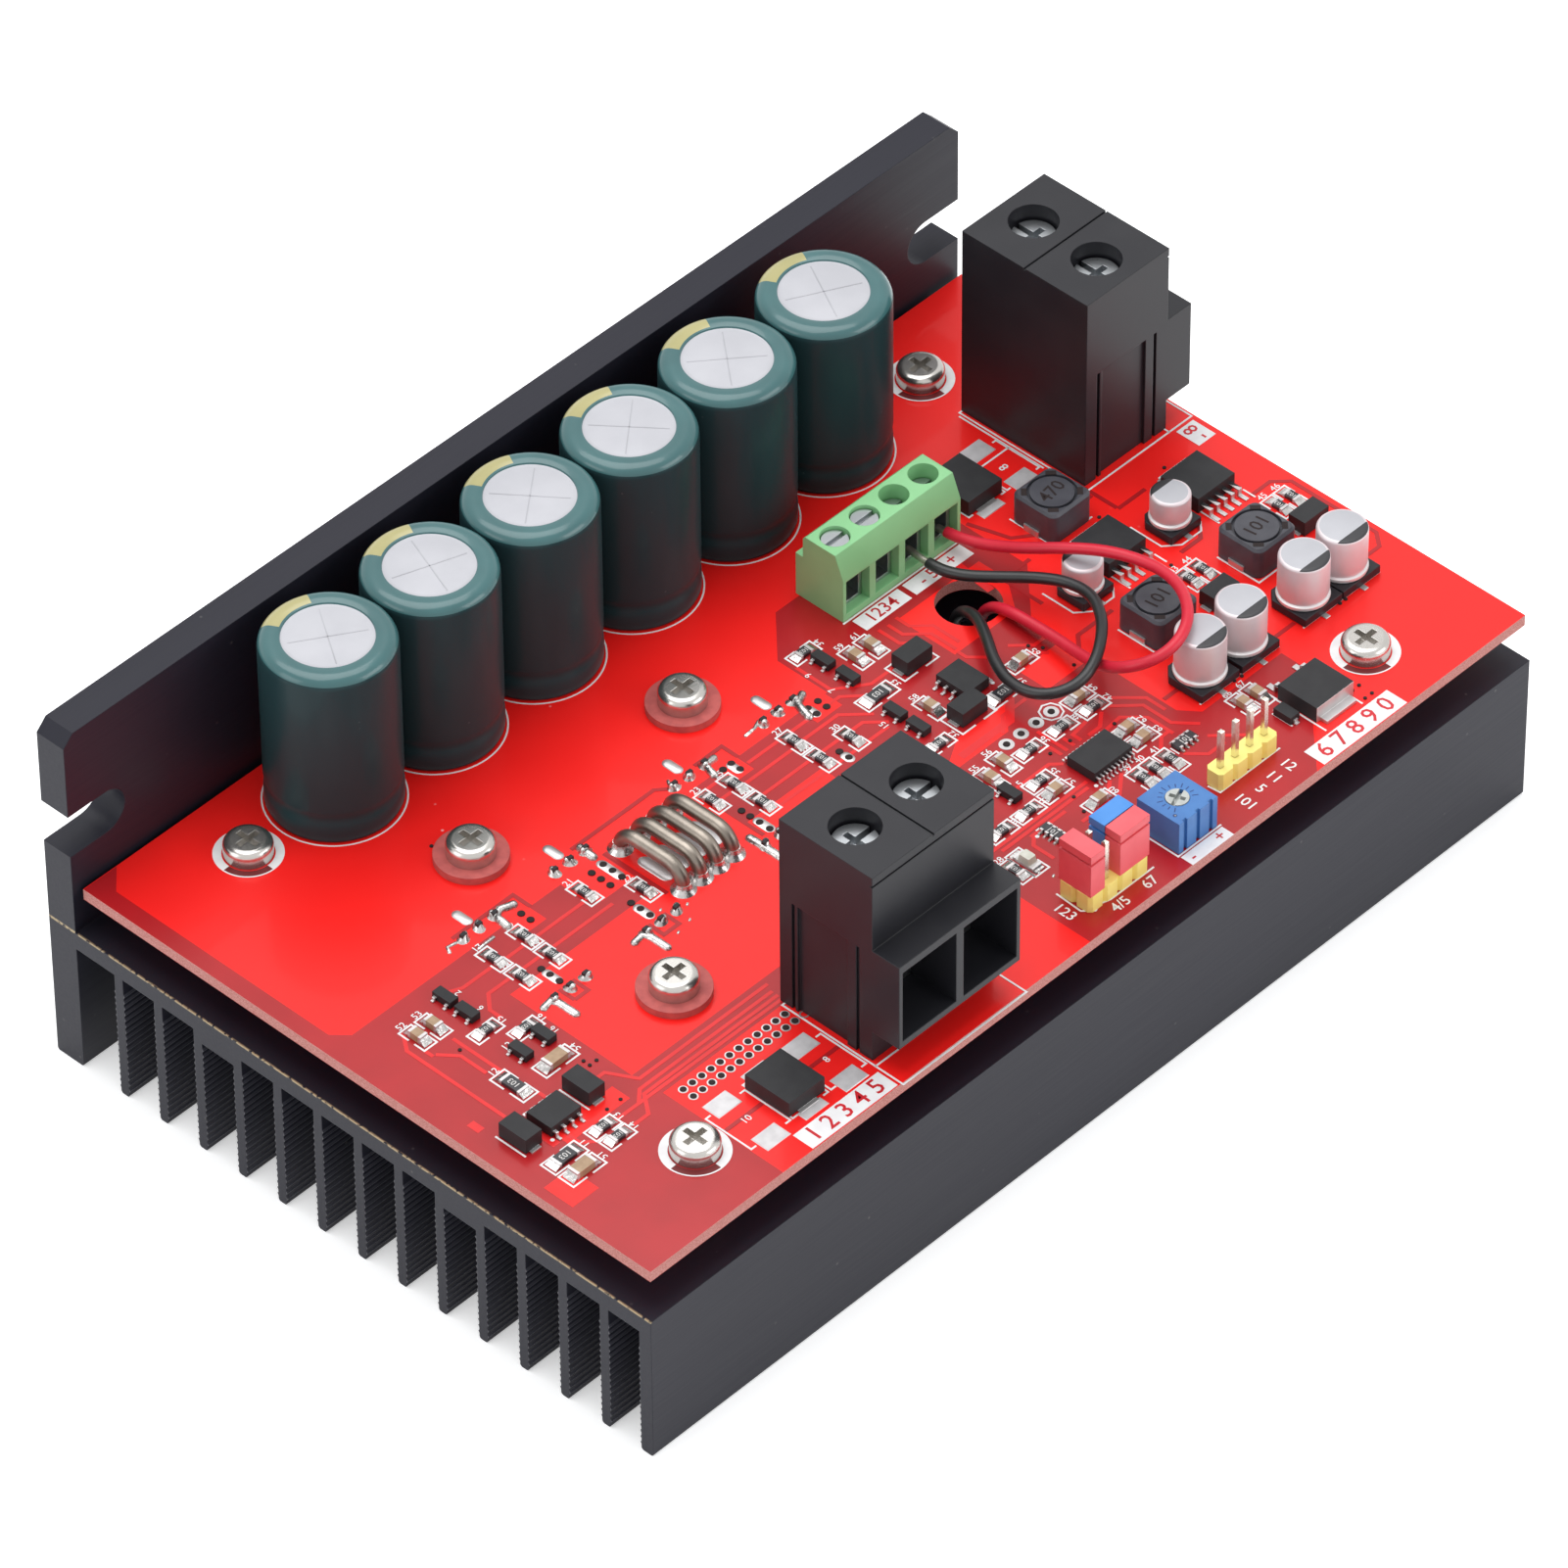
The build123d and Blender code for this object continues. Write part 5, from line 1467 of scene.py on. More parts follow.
@dataclass
class BoardPrint:
    """What lies flat on the board: mask without copper, tracks, bare pads, dark discs of painted
    shade over the holes, and white ink.
    """

    mask_level: float = 0.01
    island_level: float = 0.015
    track_level: float = 0.034
    level_step: float = 0.002
    track_width: float = 0.5
    wide_track_width: float = 1.1
    gap_width: float = 0.55
    wire_hole: Triple = (106.8, 50.5, 4.1)
    ink_low: float = 0.03
    ink_level: float = 0.06
    line: float = 0.24
    lead_row: Triple = (24.5, 18.35, 16.75)
    lead_pitch: float = 1.52
    lead_count: int = 12
    lead_pad: Pair = (0.42, 0.6)
    test_pad: Pair = (0.45, 0.95)
    small_hole: float = 0.48
    via_hole: float = 0.24
    screw_ring: Triple = (3.15, 4.02, 4.2)
    capacitor_ring: Pair = (8.42, 8.62)
    test_ring: Pair = (1.35, 1.6)
    dot_radius: float = 0.26
    number_height: float = 0.95
    number_reach: float = 1.55
    bare_area: Sequence[Pair] = (
        (1.1, 1), (22.6, 1), (22.6, 19.7), (73.8, 19.7), (73.8, 1), (113, 1), (119, 7), (119, 12),
        (125.4, 12), (125.4, 17.6), (111.5, 17.6), (109.6, 20), (109.6, 43), (116.5, 50),
        (116.5, 66), (90, 66), (84, 60), (84, 52), (5.2, 52), (3.4, 54), (3.4, 88.6), (6.4, 91.6),
        (1.1, 91.6),
    )
    islands: Sequence[Sequence[Pair]] = (
        ((22.2, 24.2), (74, 24.2), (74, 43.5), (22.2, 43.5)),
        ((30, 49.2), (34, 49.2), (34, 52.2), (30, 52.2)),
        ((39.2, 48), (40.5, 46.6), (46, 46.6), (46, 52.2), (39.2, 52.2)),
        ((46.4, 42), (61, 42), (61, 52.2), (46.4, 52.2)),
        ((65.6, 49.2), (68.6, 49.2), (68.6, 52.2), (65.6, 52.2)),
        ((79.4, 49.2), (83.6, 49.2), (83.6, 52.2), (79.4, 52.2)),
        ((2.5, 14.4), (6.7, 14.4), (6.7, 18.9), (2.5, 18.9)),
        ((9.4, 21.8), (19.4, 21.8), (19.4, 24.6), (9.4, 24.6)),
        ((102, 33.4), (109.7, 33.4), (109.7, 38), (102, 38)),
        ((85, 31.9), (93.5, 31.9), (97, 35.4), (88.5, 35.4), (85, 33.4)),
        ((99, 45.5), (109.6, 45.5), (113, 50), (113, 54.6), (99, 54.6)),
    )
    gaps: Sequence[Sequence[Pair]] = (
        ((116.9, 60.2), (118.6, 54.6), (121.2, 52.7), (130.8, 52.7)),
        ((117.4, 50.4), (112.6, 50.4), (112.6, 44)), ((131.2, 49), (131.2, 53.4), (131.2, 56)),
        ((131.2, 48.8), (136, 48.8)), ((110, 22.3), (112.4, 22.3)),
        ((130.5, 38.1), (134, 38.1), (136.4, 40.6)),
        ((143.6, 38.8), (147.2, 38.8), (149, 37), (149, 23.5), (147.4, 21.6), (143.4, 21.6)),
        ((125.6, 20), (130.4, 20)), ((108.8, 34.6), (111.4, 37.2), (117.4, 37.2)),
        ((22.7, 10.3), (42, 10.3)), ((26.6, 37.5), (26.6, 40)),
        ((26.6, 37.5), (28.8, 37.5), (28.8, 40)),
        ((41.3, 40), (41.3, 37.5), (43.8, 37.5), (43.8, 40)), ((46.5, 42), (46.5, 52)),
        ((61.2, 40.6), (61.2, 46.6)), ((24.2, 54.8), (34.2, 54.8), (34.2, 52)),
        ((44.2, 55.2), (58, 55.2), (59.4, 54)), ((64.2, 54.6), (68.8, 54.6), (68.8, 52)),
    )
    routes: Sequence[Sequence[Pair]] = (
        ((17.6, 49), (19.3, 48.2), (24, 48.2)), ((26, 48), (29, 48)), ((31.2, 48), (39, 48)),
        ((18.8, 41.5), (18.8, 43.4), (20.6, 45.4), (24, 45.4)), ((26.3, 45.4), (29, 45.4)),
        ((31.2, 45.4), (41, 45.4)), ((7.6, 30), (7.6, 45.6), (9.4, 48)),
        ((9.4, 42.8), (11.2, 40.6), (11.2, 36.5)), ((12.6, 30.6), (12.6, 43.2)),
        ((9, 42.8), (9, 44)), ((15, 24), (13, 27), (13, 30)),
        ((19, 26.8), (20.4, 26.8), (22.4, 23.2), (43.5, 23.2)),
        ((10.4, 24), (10.4, 21), (12, 19.6), (13, 19.6)), ((19.6, 20.6), (21.2, 22), (43, 22)),
        ((16.5, 18.5), (19, 18.5), (21, 21.1), (43, 21.1)), ((15.5, 20.5), (17, 20.5), (43, 20.3)),
        ((61.6, 48.4), (64, 48.4)), ((66.2, 48.2), (74, 48.2)),
        ((76.2, 48.4), (82, 48.4), (85, 45.4)), ((66.2, 45.4), (74, 45.4)),
        ((76.2, 45.4), (79, 45.4)), ((62, 50.8), (64, 50.8)),
        ((68.8, 50.4), (79, 50.4), (84.4, 50.4), (87.4, 47.6)),
        ((81.2, 45.4), (83, 45.4), (85.2, 43.2)), ((61.6, 42.7), (64, 42.7)),
        ((66.2, 42.7), (73.8, 42.7), (84.6, 42.7)),
        ((84.6, 57.6), (84.6, 52), (88.6, 49.2), (93, 49.2)),
        ((97.4, 54.8), (97.4, 52.4), (99.8, 50), (99.8, 46)),
        ((99, 55), (99, 52.8), (101, 50.8), (101, 46.6)), ((96, 55), (96, 51.6), (97.4, 50.2)),
        ((76, 19.4), (93.4, 19.4)), ((78, 18.6), (92.8, 18.6)), ((82, 17.8), (88, 17.8)),
        ((81.2, 13.4), (81.2, 16.6), (82.6, 17.8)), ((88, 15.2), (92.4, 15.2), (95.4, 17.6)),
        ((89, 14.2), (93.2, 14.2), (97.2, 17.4)),
        ((85, 24.6), (88, 24.6), (92.6, 24.6), (93.8, 23.4)),
        ((94.8, 24.6), (94.8, 26.4), (94.2, 27)), ((95.8, 24.6), (95.8, 29.4)),
        ((97, 24.6), (97, 26.4)), ((98.2, 24.6), (98.2, 26), (101, 26.4)),
        ((99.4, 24.6), (101.4, 24.6), (103.4, 26.2)),
        ((100.2, 23.6), (104.2, 24), (106.4, 21.6), (106.4, 17.6)),
        ((104.6, 26.4), (107.6, 23.4), (107.6, 19), (109.8, 16.4)),
        ((104.6, 28.2), (106.4, 26.6), (108.8, 24), (108.8, 21)), ((94, 29), (94, 26.6)),
        ((99.4, 29.2), (99.4, 28.6)), ((92.8, 32), (95, 34.2), (99, 34.2)),
        ((104.6, 14.4), (106.6, 12.2), (109.4, 12.2)), ((103.4, 16.8), (105, 18.2), (106.4, 18.2)),
        ((108.8, 14.4), (110.4, 12.8), (112.8, 10.4)), ((98.4, 16.6), (98.4, 18)),
        ((100.6, 16.6), (100.6, 18)), ((104.4, 42), (106.6, 39.8), (109.2, 39.8)),
        ((104.4, 40), (106.8, 37.6)), ((102, 41.6), (99.6, 44.2), (99.6, 45.6)),
    )
    wide_routes: Sequence[Sequence[Pair]] = (
        ((8.4, 22.6), (8.4, 25)), ((4.2, 30.4), (4.2, 32.2)),
        ((110.8, 66), (110.8, 56), (110.2, 50)), ((86.5, 33), (95, 33), (101, 38.6)),
    )
    pads: Sequence[tuple[float, float, float, float]] = (
        (25.8, 13.5, 3.8, 2.7), (25.8, 5.9, 3.8, 2.7), (38.7, 13.5, 3.8, 2.7),
        (38.7, 5.9, 3.8, 2.7), (127.3, 68.1, 3.7, 2.8), (127.3, 60.9, 3.7, 2.4),
        (32.3, 5.5, 3.8, 1.5), (32.3, 14.3, 3.8, 1.5), (120.9, 59.9, 3.8, 1.4),
        (120.9, 68.8, 3.8, 1.2),
    )
    slots: Sequence[tuple[Pair, Pair, float]] = (
        ((48.6, 44.2), (48.6, 47.5), 1.9), ((51.3, 44.2), (51.3, 47.5), 1.9),
        ((54.1, 44.2), (54.1, 47.5), 1.9), ((56.8, 44.2), (56.8, 47.5), 1.9),
        ((27.6, 41.2), (27.6, 42.9), 1.3), ((42.5, 41), (42.5, 42.7), 1.4),
        ((62.5, 40.9), (62.5, 42.7), 1.4), ((77.5, 42.3), (77.5, 42.9), 1.4),
        ((44.9, 48.1), (44.9, 50.9), 1.4), ((67.2, 50.4), (67.2, 51.5), 1.3),
        ((80.4, 50.4), (80.4, 51.5), 1.3),
    )
    small_holes: Sequence[Pair] = (
        (27.6, 43.8), (27.6, 42.4), (27.6, 40.9), (42.5, 43.9), (42.5, 42.4), (42.5, 40.9),
        (62.4, 45.3), (62.4, 43.9), (62.4, 42.4), (62.4, 40.8), (77.5, 43.9), (77.5, 42.4),
        (32.6, 51.9), (32.6, 50.4), (43, 50.7), (43, 49.2), (43, 47.7), (44.9, 50.7), (44.9, 49.2),
        (44.9, 47.7), (66, 51.7), (67.4, 51.7), (67.4, 50.3), (80.4, 51.7), (82.1, 51.7),
        (80.4, 50.3), (82.1, 50.3),
    )
    vias: Sequence[Pair] = (
        (11.8, 41.3), (16.3, 22.4), (18.5, 22.4), (20.1, 28.8), (20.1, 29.8), (21.2, 28.8),
        (128.5, 49.4), (140.4, 49.7), (128, 37.4), (126.2, 7.2), (127.4, 7.2), (126.2, 5.2),
        (127.4, 5.2), (106.9, 38.7), (107.2, 34), (94, 25.7), (97.2, 25.5), (90.4, 18.7),
        (88.6, 20.9), (102.9, 23.7), (89.4, 16.2), (118, 18.4), (119.2, 18.3), (136.6, 18.3),
        (137.6, 18.3), (106, 40.2), (33.6, 67.4),
    )
    test_pads: Sequence[Pair] = (
        (91.7, 30.5), (94.2, 30.5), (96.8, 30.5), (99.4, 30.5),
    )
    brackets: Sequence[tuple[float, float, float, float, float]] = (
        (22.8, 6.1, 29.2, 13.2, 0.8), (29.6, 6.1, 35.4, 13.9, 0.8), (35.9, 6.1, 41.7, 13.2, 0.8),
        (117.9, 60.7, 124.2, 68, 0.7), (124.6, 60.7, 130.3, 67.8, 0.6),
        (91.6, 46.6, 97.4, 49.8, 2.2), (89.5, 35.4, 95.3, 39, 2.2),
    )
    outlines: Sequence[Sequence[Pair]] = (
        ((42.1, 0.7), (62.7, 0.7), (62.7, 19.6), (42.1, 19.6)),
        ((131, 53.6), (149.6, 53.6), (149.6, 74.4), (131, 74.4)),
    )
    strokes: Sequence[Sequence[Pair]] = (
        ((42.1, 5), (62.7, 5)), ((145.6, 53.6), (145.6, 54.6)), ((130.5, 60.2), (130.5, 74)),
        ((125.6, 65.8), (130.4, 65.8)), ((93.9, 58.7), (114.6, 58.7)), ((4.6, 23.8), (4.6, 28.6)),
        ((14.9, 23.8), (14.9, 28.6)), ((121, 57), (121, 50.1), (128, 50.1)),
        ((115.3, 34.4), (115.3, 28.1), (122, 28.1)), ((132.8, 34.4), (132.8, 27.7), (139, 27.7)),
        ((118.9, 13), (118.9, 4.8)), ((125.3, 6.6), (125.3, 4.8)), ((116.8, 11.4), (116.8, 8.2)),
        ((77, 9.2), (76.8, 5.2), (78, 4), (79.2, 4.4), (80.6, 4), (88, 4)),
        ((102.4, 8.6), (102.6, 6.8), (113, 6.8)), ((91.2, 9.8), (91.2, 3.1), (98.6, 3.1)),
    )
    dots: Sequence[Pair] = (
        (8.6, 23.5), (93.6, 18.1), (98.4, 38.9), (82.6, 17.3), (107.7, 16.5),
    )

    def build(self) -> None:
        """Lays mask, tracks, pads, painted shade in the holes, and ink."""
        self._mask()
        self._metal()
        self._ink()
        self._figures()

    def _mask(self) -> None:
        flat = Draft(BARE_MASK, SOLDER_MASK_FLAT, MASKED_TRACK)
        flat.use(BARE_MASK).prism(self._around_hole(self.bare_area), 0.0, self.mask_level)
        for n, gap in enumerate(self.gaps):
            top = self.track_level + self.level_step * (5 + n % 3)
            flat.ribbon(gap, self.gap_width, 0.0, top)
        flat.use(SOLDER_MASK_FLAT)
        for n, island in enumerate(self.islands[:-1]):
            flat.prism(island, 0.0, self.island_level + self.level_step * (n % 8))
        flat.prism(self._around_hole(self.islands[-1]), 0.0, self.island_level)
        flat.use(MASKED_TRACK)
        for n, route in enumerate(self.routes):
            top = self.track_level + self.level_step * (n % 4)
            flat.ribbon(route, self.track_width, 0.0, top)
        for route in self.wide_routes:
            top = self.track_level - self.level_step
            flat.ribbon(route, self.wide_track_width, 0.0, top)
        flat.piece("board_tracks", "board_red")

    def _around_hole(self, outline: Sequence[Pair]) -> list[Pair]:
        x, y, radius = self.wire_hole
        slit, slit_turn, steps = 0.03, 0.004, 40
        middle = Vector((x, y))
        spots = [Vector(point) for point in outline]
        near = min(range(len(spots)), key=lambda n: (spots[n] - middle).length)
        arm = spots[near] - middle
        start = math.atan2(arm.y, arm.x) - slit_turn
        turns = [start - 2 * (math.pi - slit_turn) * n / steps for n in range(steps + 1)]
        circle = [(x + radius * math.cos(turn), y + radius * math.sin(turn)) for turn in turns]
        way = (spots[(near + 1) % len(spots)] - spots[near]).normalized()
        back = spots[near] + way * slit
        return [*outline[: near + 1], *circle, (back.x, back.y), *outline[near + 1 :]]

    def _metal(self) -> None:
        tin = Draft(PAD_TIN, TINNED, HOLE_SHADE_AND_DARK_MARKS)
        tin.use(PAD_TIN)
        for x, y, width, depth in self.pads:
            tin.block((x, y), (width, depth), 0.0, 0.1, inset=0.15)
        tin.use(TINNED)
        for start, end, width in self.slots:
            tin.bead([start, end], width, 0.14)
        left, back, front = self.lead_row
        pitch, count = self.lead_pitch, self.lead_count
        leads = [(left + pitch * n, y) for n in range(count) for y in (back, front)]
        for spot in [*leads, (left + pitch * count, front)]:
            tin.ring(spot, *self.lead_pad, 0.0, 0.06, steps=16)
        for spot in self.test_pads:
            tin.ring(spot, *self.test_pad, 0.0, 0.07, steps=24)
        # Dark discs over the holes: painted shade that stands for the dark inside of each hole.
        tin.use(HOLE_SHADE_AND_DARK_MARKS)
        holes = (
            (leads, self.lead_pad[0]), (self.small_holes, self.small_hole),
            (self.test_pads, self.test_pad[0]), (self.vias, self.via_hole),
        )
        for spots, radius in holes:
            section = [(0, 0), (radius, 0), (radius, 0.1), (radius * 0.96, 0.15), (0, 0.15)]
            for spot in spots:
                tin.lathe(section, spot, 14)
        tin.piece("board_pads", "tinned_metal")

    def _ink(self) -> None:
        ink = Draft(SILK_INK, DARK_INK)
        low, top = self.ink_low, self.ink_level
        inner, edge, outer = self.screw_ring
        for box in solids("board_screws"):
            ink.use(SILK_INK).ring(box.centre, inner, outer, low, top, -90, 180)
            ink.ring(box.centre, edge, outer, low, top, 180, 270)
            ink.use(DARK_INK).ring(box.centre, inner, edge, low, top - 0.01, 180, 270)
        ink.use(SILK_INK)
        for number in range(1, 7):
            centre = solids(f"capacitor_{number}")[0].centre
            ink.ring(centre, *self.capacitor_ring, low, top, steps=72)
        ink.ring(self.test_pads[-1], *self.test_ring, low, top, steps=8)
        for outline in self.outlines:
            ink.ribbon(outline, self.line, low, top, closed=True)
        for stroke in self._strokes():
            ink.ribbon(stroke, self.line, low, top)
        for spot in self.dots:
            ink.dot(spot, self.dot_radius, low, top)
        ink.piece("board_ink", "board_red")

    def _strokes(self) -> Iterable[Sequence[Pair]]:
        yield from self.strokes
        for x0, y0, x1, y1, tab in self.brackets:
            for x, inner in ((x0, x0 + tab), (x1, x1 - tab)):
                yield (inner, y0), (x, y0), (x, y1), (inner, y1)
        basket = ((-3.5, 3.2), (-3.5, -1.8), (-1.6, -3.4), (1.8, -3.4), (3.0, -2.2))
        for x, y in ((117.4, 42.0), (133.2, 42.3)):
            yield [(x + a, y + b) for a, b in basket]
        for x in (115.6, 122.7, 133.8, 140.6):
            yield (x - 3.4, 18.6), (x + 3.4, 18.6)
        for x in (121.7, 137.5):
            yield (x, 38.2), (x, 41.4)
            yield (x + 6.4, 38.2), (x + 6.4, 40.2)
            yield (x + 1.0, 48.9), (x + 6.0, 48.9)

    def _figures(self) -> None:
        sheet = Draft(SILK_INK, RED_FIGURE)
        low, top = self.ink_low, self.ink_level
        boxes = (
            (27.6, 1.1, 14.0, 3.1, "1 2 3 4 5", 0, 2.4),
            (114.4, 1.1, 14.6, 3.2, "6 7 8 9 0", 0, 2.5),
            (95.0, 55.9, 7.8, 2.4, "1234", 0, 1.8), (103.6, 55.9, 10.0, 2.4, "- 56 +", 0, 1.8),
            (91.3, 0.9, 7.1, 1.9, "-      +", 0, 1.6), (146.2, 49.3, 3.0, 3.7, "- 8", 90, 2.0),
        )
        for x, y, width, depth, figures, turn, height in boxes:
            middle = (x + width / 2, y + depth / 2)
            sheet.use(SILK_INK).block(middle, (width, depth), low, top)
            sheet.use(RED_FIGURE).letters(figures, middle, height, turn, top + 0.012)
        sheet.use(SILK_INK)
        marks = (
            ("123", 75.4, 6.4, 1.5, -90), ("4/5", 80.8, 2.6, 1.5, 0), ("67", 85.8, 2.6, 1.5, 0),
            ("101", 103.4, 3.6, 1.5, -90), ("5", 106.3, 3.8, 1.5, -90), ("11", 108.8, 4, 1.5, -90),
            ("12", 111.5, 4.2, 1.5, -90), ("10", 25.9, 9.8, 1, 0), ("8", 39.1, 9.8, 1, 0),
            ("8", 127.4, 63.8, 1.3, 90), ("2", 18.3, 48, 0.9, 90), ("6", 18.3, 44.4, 0.9, 90),
            ("13", 15.9, 37.8, 1, 0), ("16", 21.5, 35.8, 0.9, 90), ("9", 84.6, 55.6, 0.9, 90),
            ("7", 84.6, 51.8, 0.9, 90), ("15", 84.4, 43.2, 0.9, 90), ("5", 87.8, 24.8, 1, 0),
        )
        for figures, x, y, height, turn in marks:
            sheet.letters(figures, (x, y), height, turn, top)
        for node, first in (("chip_resistors", 11), ("chip_capacitors", 51)):
            for number, box in enumerate(solids(node), start=first):
                x, y = box.centre
                reach = max(box.size[:2]) / 2 + self.number_reach
                along = box.lies_along_x
                spot = (x + reach, y) if along else (x, y + reach + 0.1)
                sheet.letters(str(number), spot, self.number_height, 90 if along else 0, top)
        sheet.piece("board_figures", "board_red", smooth=10)


@dataclass
class SmallParts:
    """Sizes that the soldered parts without leads share."""

    bracket_width: float = 0.24
    bracket_low: float = 0.03
    bracket_top: float = 0.055
    figure_rise: float = 0.012

    def bracket(self, draft: Draft, path: Sequence[Pair], width: float | None = None) -> None:
        """Draws a line of white ink on the board."""
        width = width or self.bracket_width
        draft.use(SILK_INK).ribbon(path, width, self.bracket_low, self.bracket_top)


@dataclass
class ChipParts(SmallParts):
    """Resistors and capacitors: bodies with tinned ends, their solder, ink brackets and figures."""

    end: float = 0.38
    pad: float = 0.75
    kinds: Sequence[tuple[str, Finish, str, str]] = (
        ("chip_resistors", CHIP_GLAZE, "103", "chip_dark"),
        ("chip_capacitors", TAN_CERAMIC, "", "chip_tan"),
    )

    def _draft(self, size: Triple, body: Finish, figures: str) -> Draft:
        width, length, height = size
        draft = Draft(body, TINNED, SOLDER, SILK_INK, CERAMIC)
        side, edge = width / 2, length / 2
        draft.use(body).block((0, 0), (width - 0.04, length - 2 * self.end), 0.05, height)
        for way in (-1, 1):
            spot = (0, way * (edge - self.end / 2))
            draft.use(TINNED).block(spot, (width, self.end), 0.03, height + 0.02)
            near, far = way * edge, way * (edge + self.pad)
            wide = side + 0.08
            wedge = ((-side, near), (side, near), (wide, far), (-wide, far))
            tops = (height * 0.75, height * 0.75, 0.1, 0.1)
            foot = draft.loop((*spot, 0.0) for spot in wedge)
            top = draft.loop((*spot, rise) for spot, rise in zip(wedge, tops))
            draft.use(SOLDER).skin([foot, top])
            x, y = side + 0.38, edge + self.pad + 0.32
            path = [(-x, way * 0.45), (-x, way * y), (x, way * y), (x, way * 0.45)]
            self.bracket(draft, path)
        if figures:
            draft.use(CERAMIC).letters(figures, (0, 0), width * 0.5, 90, height + self.figure_rise)
        return draft

    def build(self) -> None:
        """Scatters each size of part over its places."""
        for node, finish, figures, slot in self.kinds:
            sizes: dict[Triple, list] = {}
            for box in solids(node):
                key = (*sorted(round(side, 2) for side in box.size[:2]), round(box.size[2], 2))
                sizes.setdefault(key, []).append(upright(box))
            for number, (size, places) in enumerate(sizes.items(), start=1):
                name = f"{node}_{number}"
                mesh = scatter(name, self._draft(size, finish, figures), places)
                place_piece(name, mesh, slot, [node], smooth=REFINED_SMOOTH)


@dataclass
class Inductor:
    """A shielded inductor: the block with its core, the value on it and the tabs at its foot."""

    number: int
    value: str = "101"
    turn: float = 8.0
    tab: Pair = (0.5, 2.4)
    notch: Pair = (3.0, 3.7)
    notch_width: float = 1.3

    def build(self) -> None:
        """Shows the block, then adds figures, dark notches and tabs."""
        node = f"inductor_{self.number}"
        refine(node, FERRITE, "ferrite")
        box = solids(node)[0]
        (x, y), top = box.centre, box.high[2]
        marks = Draft(HOLE_SHADE_AND_DARK_MARKS, TINNED)
        marks.use(HOLE_SHADE_AND_DARK_MARKS).letters(self.value, box.centre, 1.9, self.turn, top + 0.02)
        for turn in (45, 135, 225, 315):
            marks.spoke(box.centre, turn, self.notch, self.notch_width, top - 0.1, top + 0.015)
        marks.use(TINNED)
        for way in (-1, 1):
            marks.block((x + way * box.size[0] / 2, y), self.tab, 0.0, 0.9, cut=0.1)
        marks.piece(f"{node}_marks", "ferrite", smooth=20)


@dataclass
class Trimmer:
    """What is printed and moulded on the trimmer: ticks round the rotor, a dot at its first pin."""

    ticks: int = 13
    sweep: float = 250.0
    inner: float = 1.75
    outer: float = 2.3
    longer: float = 0.2
    dot: Pair = (0.85, 1.45)

    def build(self) -> None:
        """Lays the ticks and the dot on the body."""
        box = solids("trimmer_body")[0]
        top = box.high[2]
        marks = Draft(TRIMMER_TICK, PAD_GREY)
        marks.use(TRIMMER_TICK)
        for n in range(self.ticks):
            turn = 90 - self.sweep / 2 + self.sweep * n / (self.ticks - 1)
            reach = self.outer + (0 if n % 3 else self.longer)
            marks.spoke(box.centre, turn, (self.inner, reach), 0.13, top - 0.05, top + 0.012)
        x, y = box.low[0] + self.dot[0], box.low[1] + self.dot[1]
        marks.dot((x, y), 0.26, top, top + 0.014, 16)
        marks.use(PAD_GREY).dot((x + 0.03, y - 0.03), 0.13, top, top + 0.02)
        marks.piece("trimmer_marks", "trimmer_blue", smooth=20)


@dataclass
class ResistorNetworks(SmallParts):
    """Four resistors in one body, with four tinned ends on each long side."""

    pitch: float = 0.8
    end: Pair = (0.3, 0.45)
    solder: Pair = (0.45, 0.4)

    def build(self) -> None:
        """Scatters the networks over their places."""
        node = "resistor_networks"
        boxes = solids(node)
        width, length = sorted(boxes[0].size[:2])
        height = boxes[0].size[2]
        draft = Draft(CHIP_GLAZE, TINNED, SOLDER, CERAMIC, SILK_INK)
        draft.use(CHIP_GLAZE).block((0, 0), (width - 0.3, length), 0.05, height)
        for way in (-1, 1):
            for n in range(4):
                y = (n - 1.5) * self.pitch
                inner, outer = (way * (width / 2 + out) for out in (-0.15, 0.2))
                draft.use(TINNED).block((inner, y), self.end, 0.02, height + 0.01)
                draft.use(SOLDER).block((outer, y), self.solder, 0.0, 0.2, inset=0.1)
            y = way * (length / 2 + 0.25)
            self.bracket(draft, [(way * 0.5, y), (-way * 0.9, y)], 0.2)
        draft.use(CERAMIC).letters("101", (0, 0), 0.75, 90, height + self.figure_rise)
        mesh = scatter(node, draft, [upright(box) for box in boxes])
        place_piece(f"{node}_body", mesh, "chip_dark", [node], smooth=REFINED_SMOOTH)


@dataclass
class StatusLed(SmallParts):
    """A lamp in clear resin on a white carrier with tinned ends."""

    carrier: float = 0.45
    dome: Pair = (1.5, 1.9)

    def build(self) -> None:
        """Makes carrier, ends, resin and ink."""
        box = solids("status_led")[0]
        x, y = box.centre
        width, length, height = box.size
        draft = Draft(CERAMIC, TINNED, LED_CLEAR, SOLDER, SILK_INK)
        draft.use(CERAMIC).block((x, y), (width - 0.04, length - 0.7), 0.02, self.carrier)
        draft.use(LED_CLEAR).block((x, y), self.dome, self.carrier, height, inset=0.2, cut=0.15)
        left, right = x - width / 2 - 0.35, x + width / 2 + 0.35
        for way in (-1, 1):
            inner, outer, near, far = (
                y + way * reach
                for reach in (length / 2 - 0.2, length / 2 + 0.25, 0.5, length / 2 + 0.8)
            )
            draft.use(TINNED).block((x, inner), (width, 0.4), 0.0, self.carrier + 0.02)
            draft.use(SOLDER).block((x, outer), (width, 0.5), 0.0, 0.22, inset=0.12)
            self.bracket(draft, [(left, near), (left, far), (right, far), (right, near)])
        node = "status_led"
        draft.piece(f"{node}_body", "led_clear", stands_for=[node], smooth=REFINED_SMOOTH)


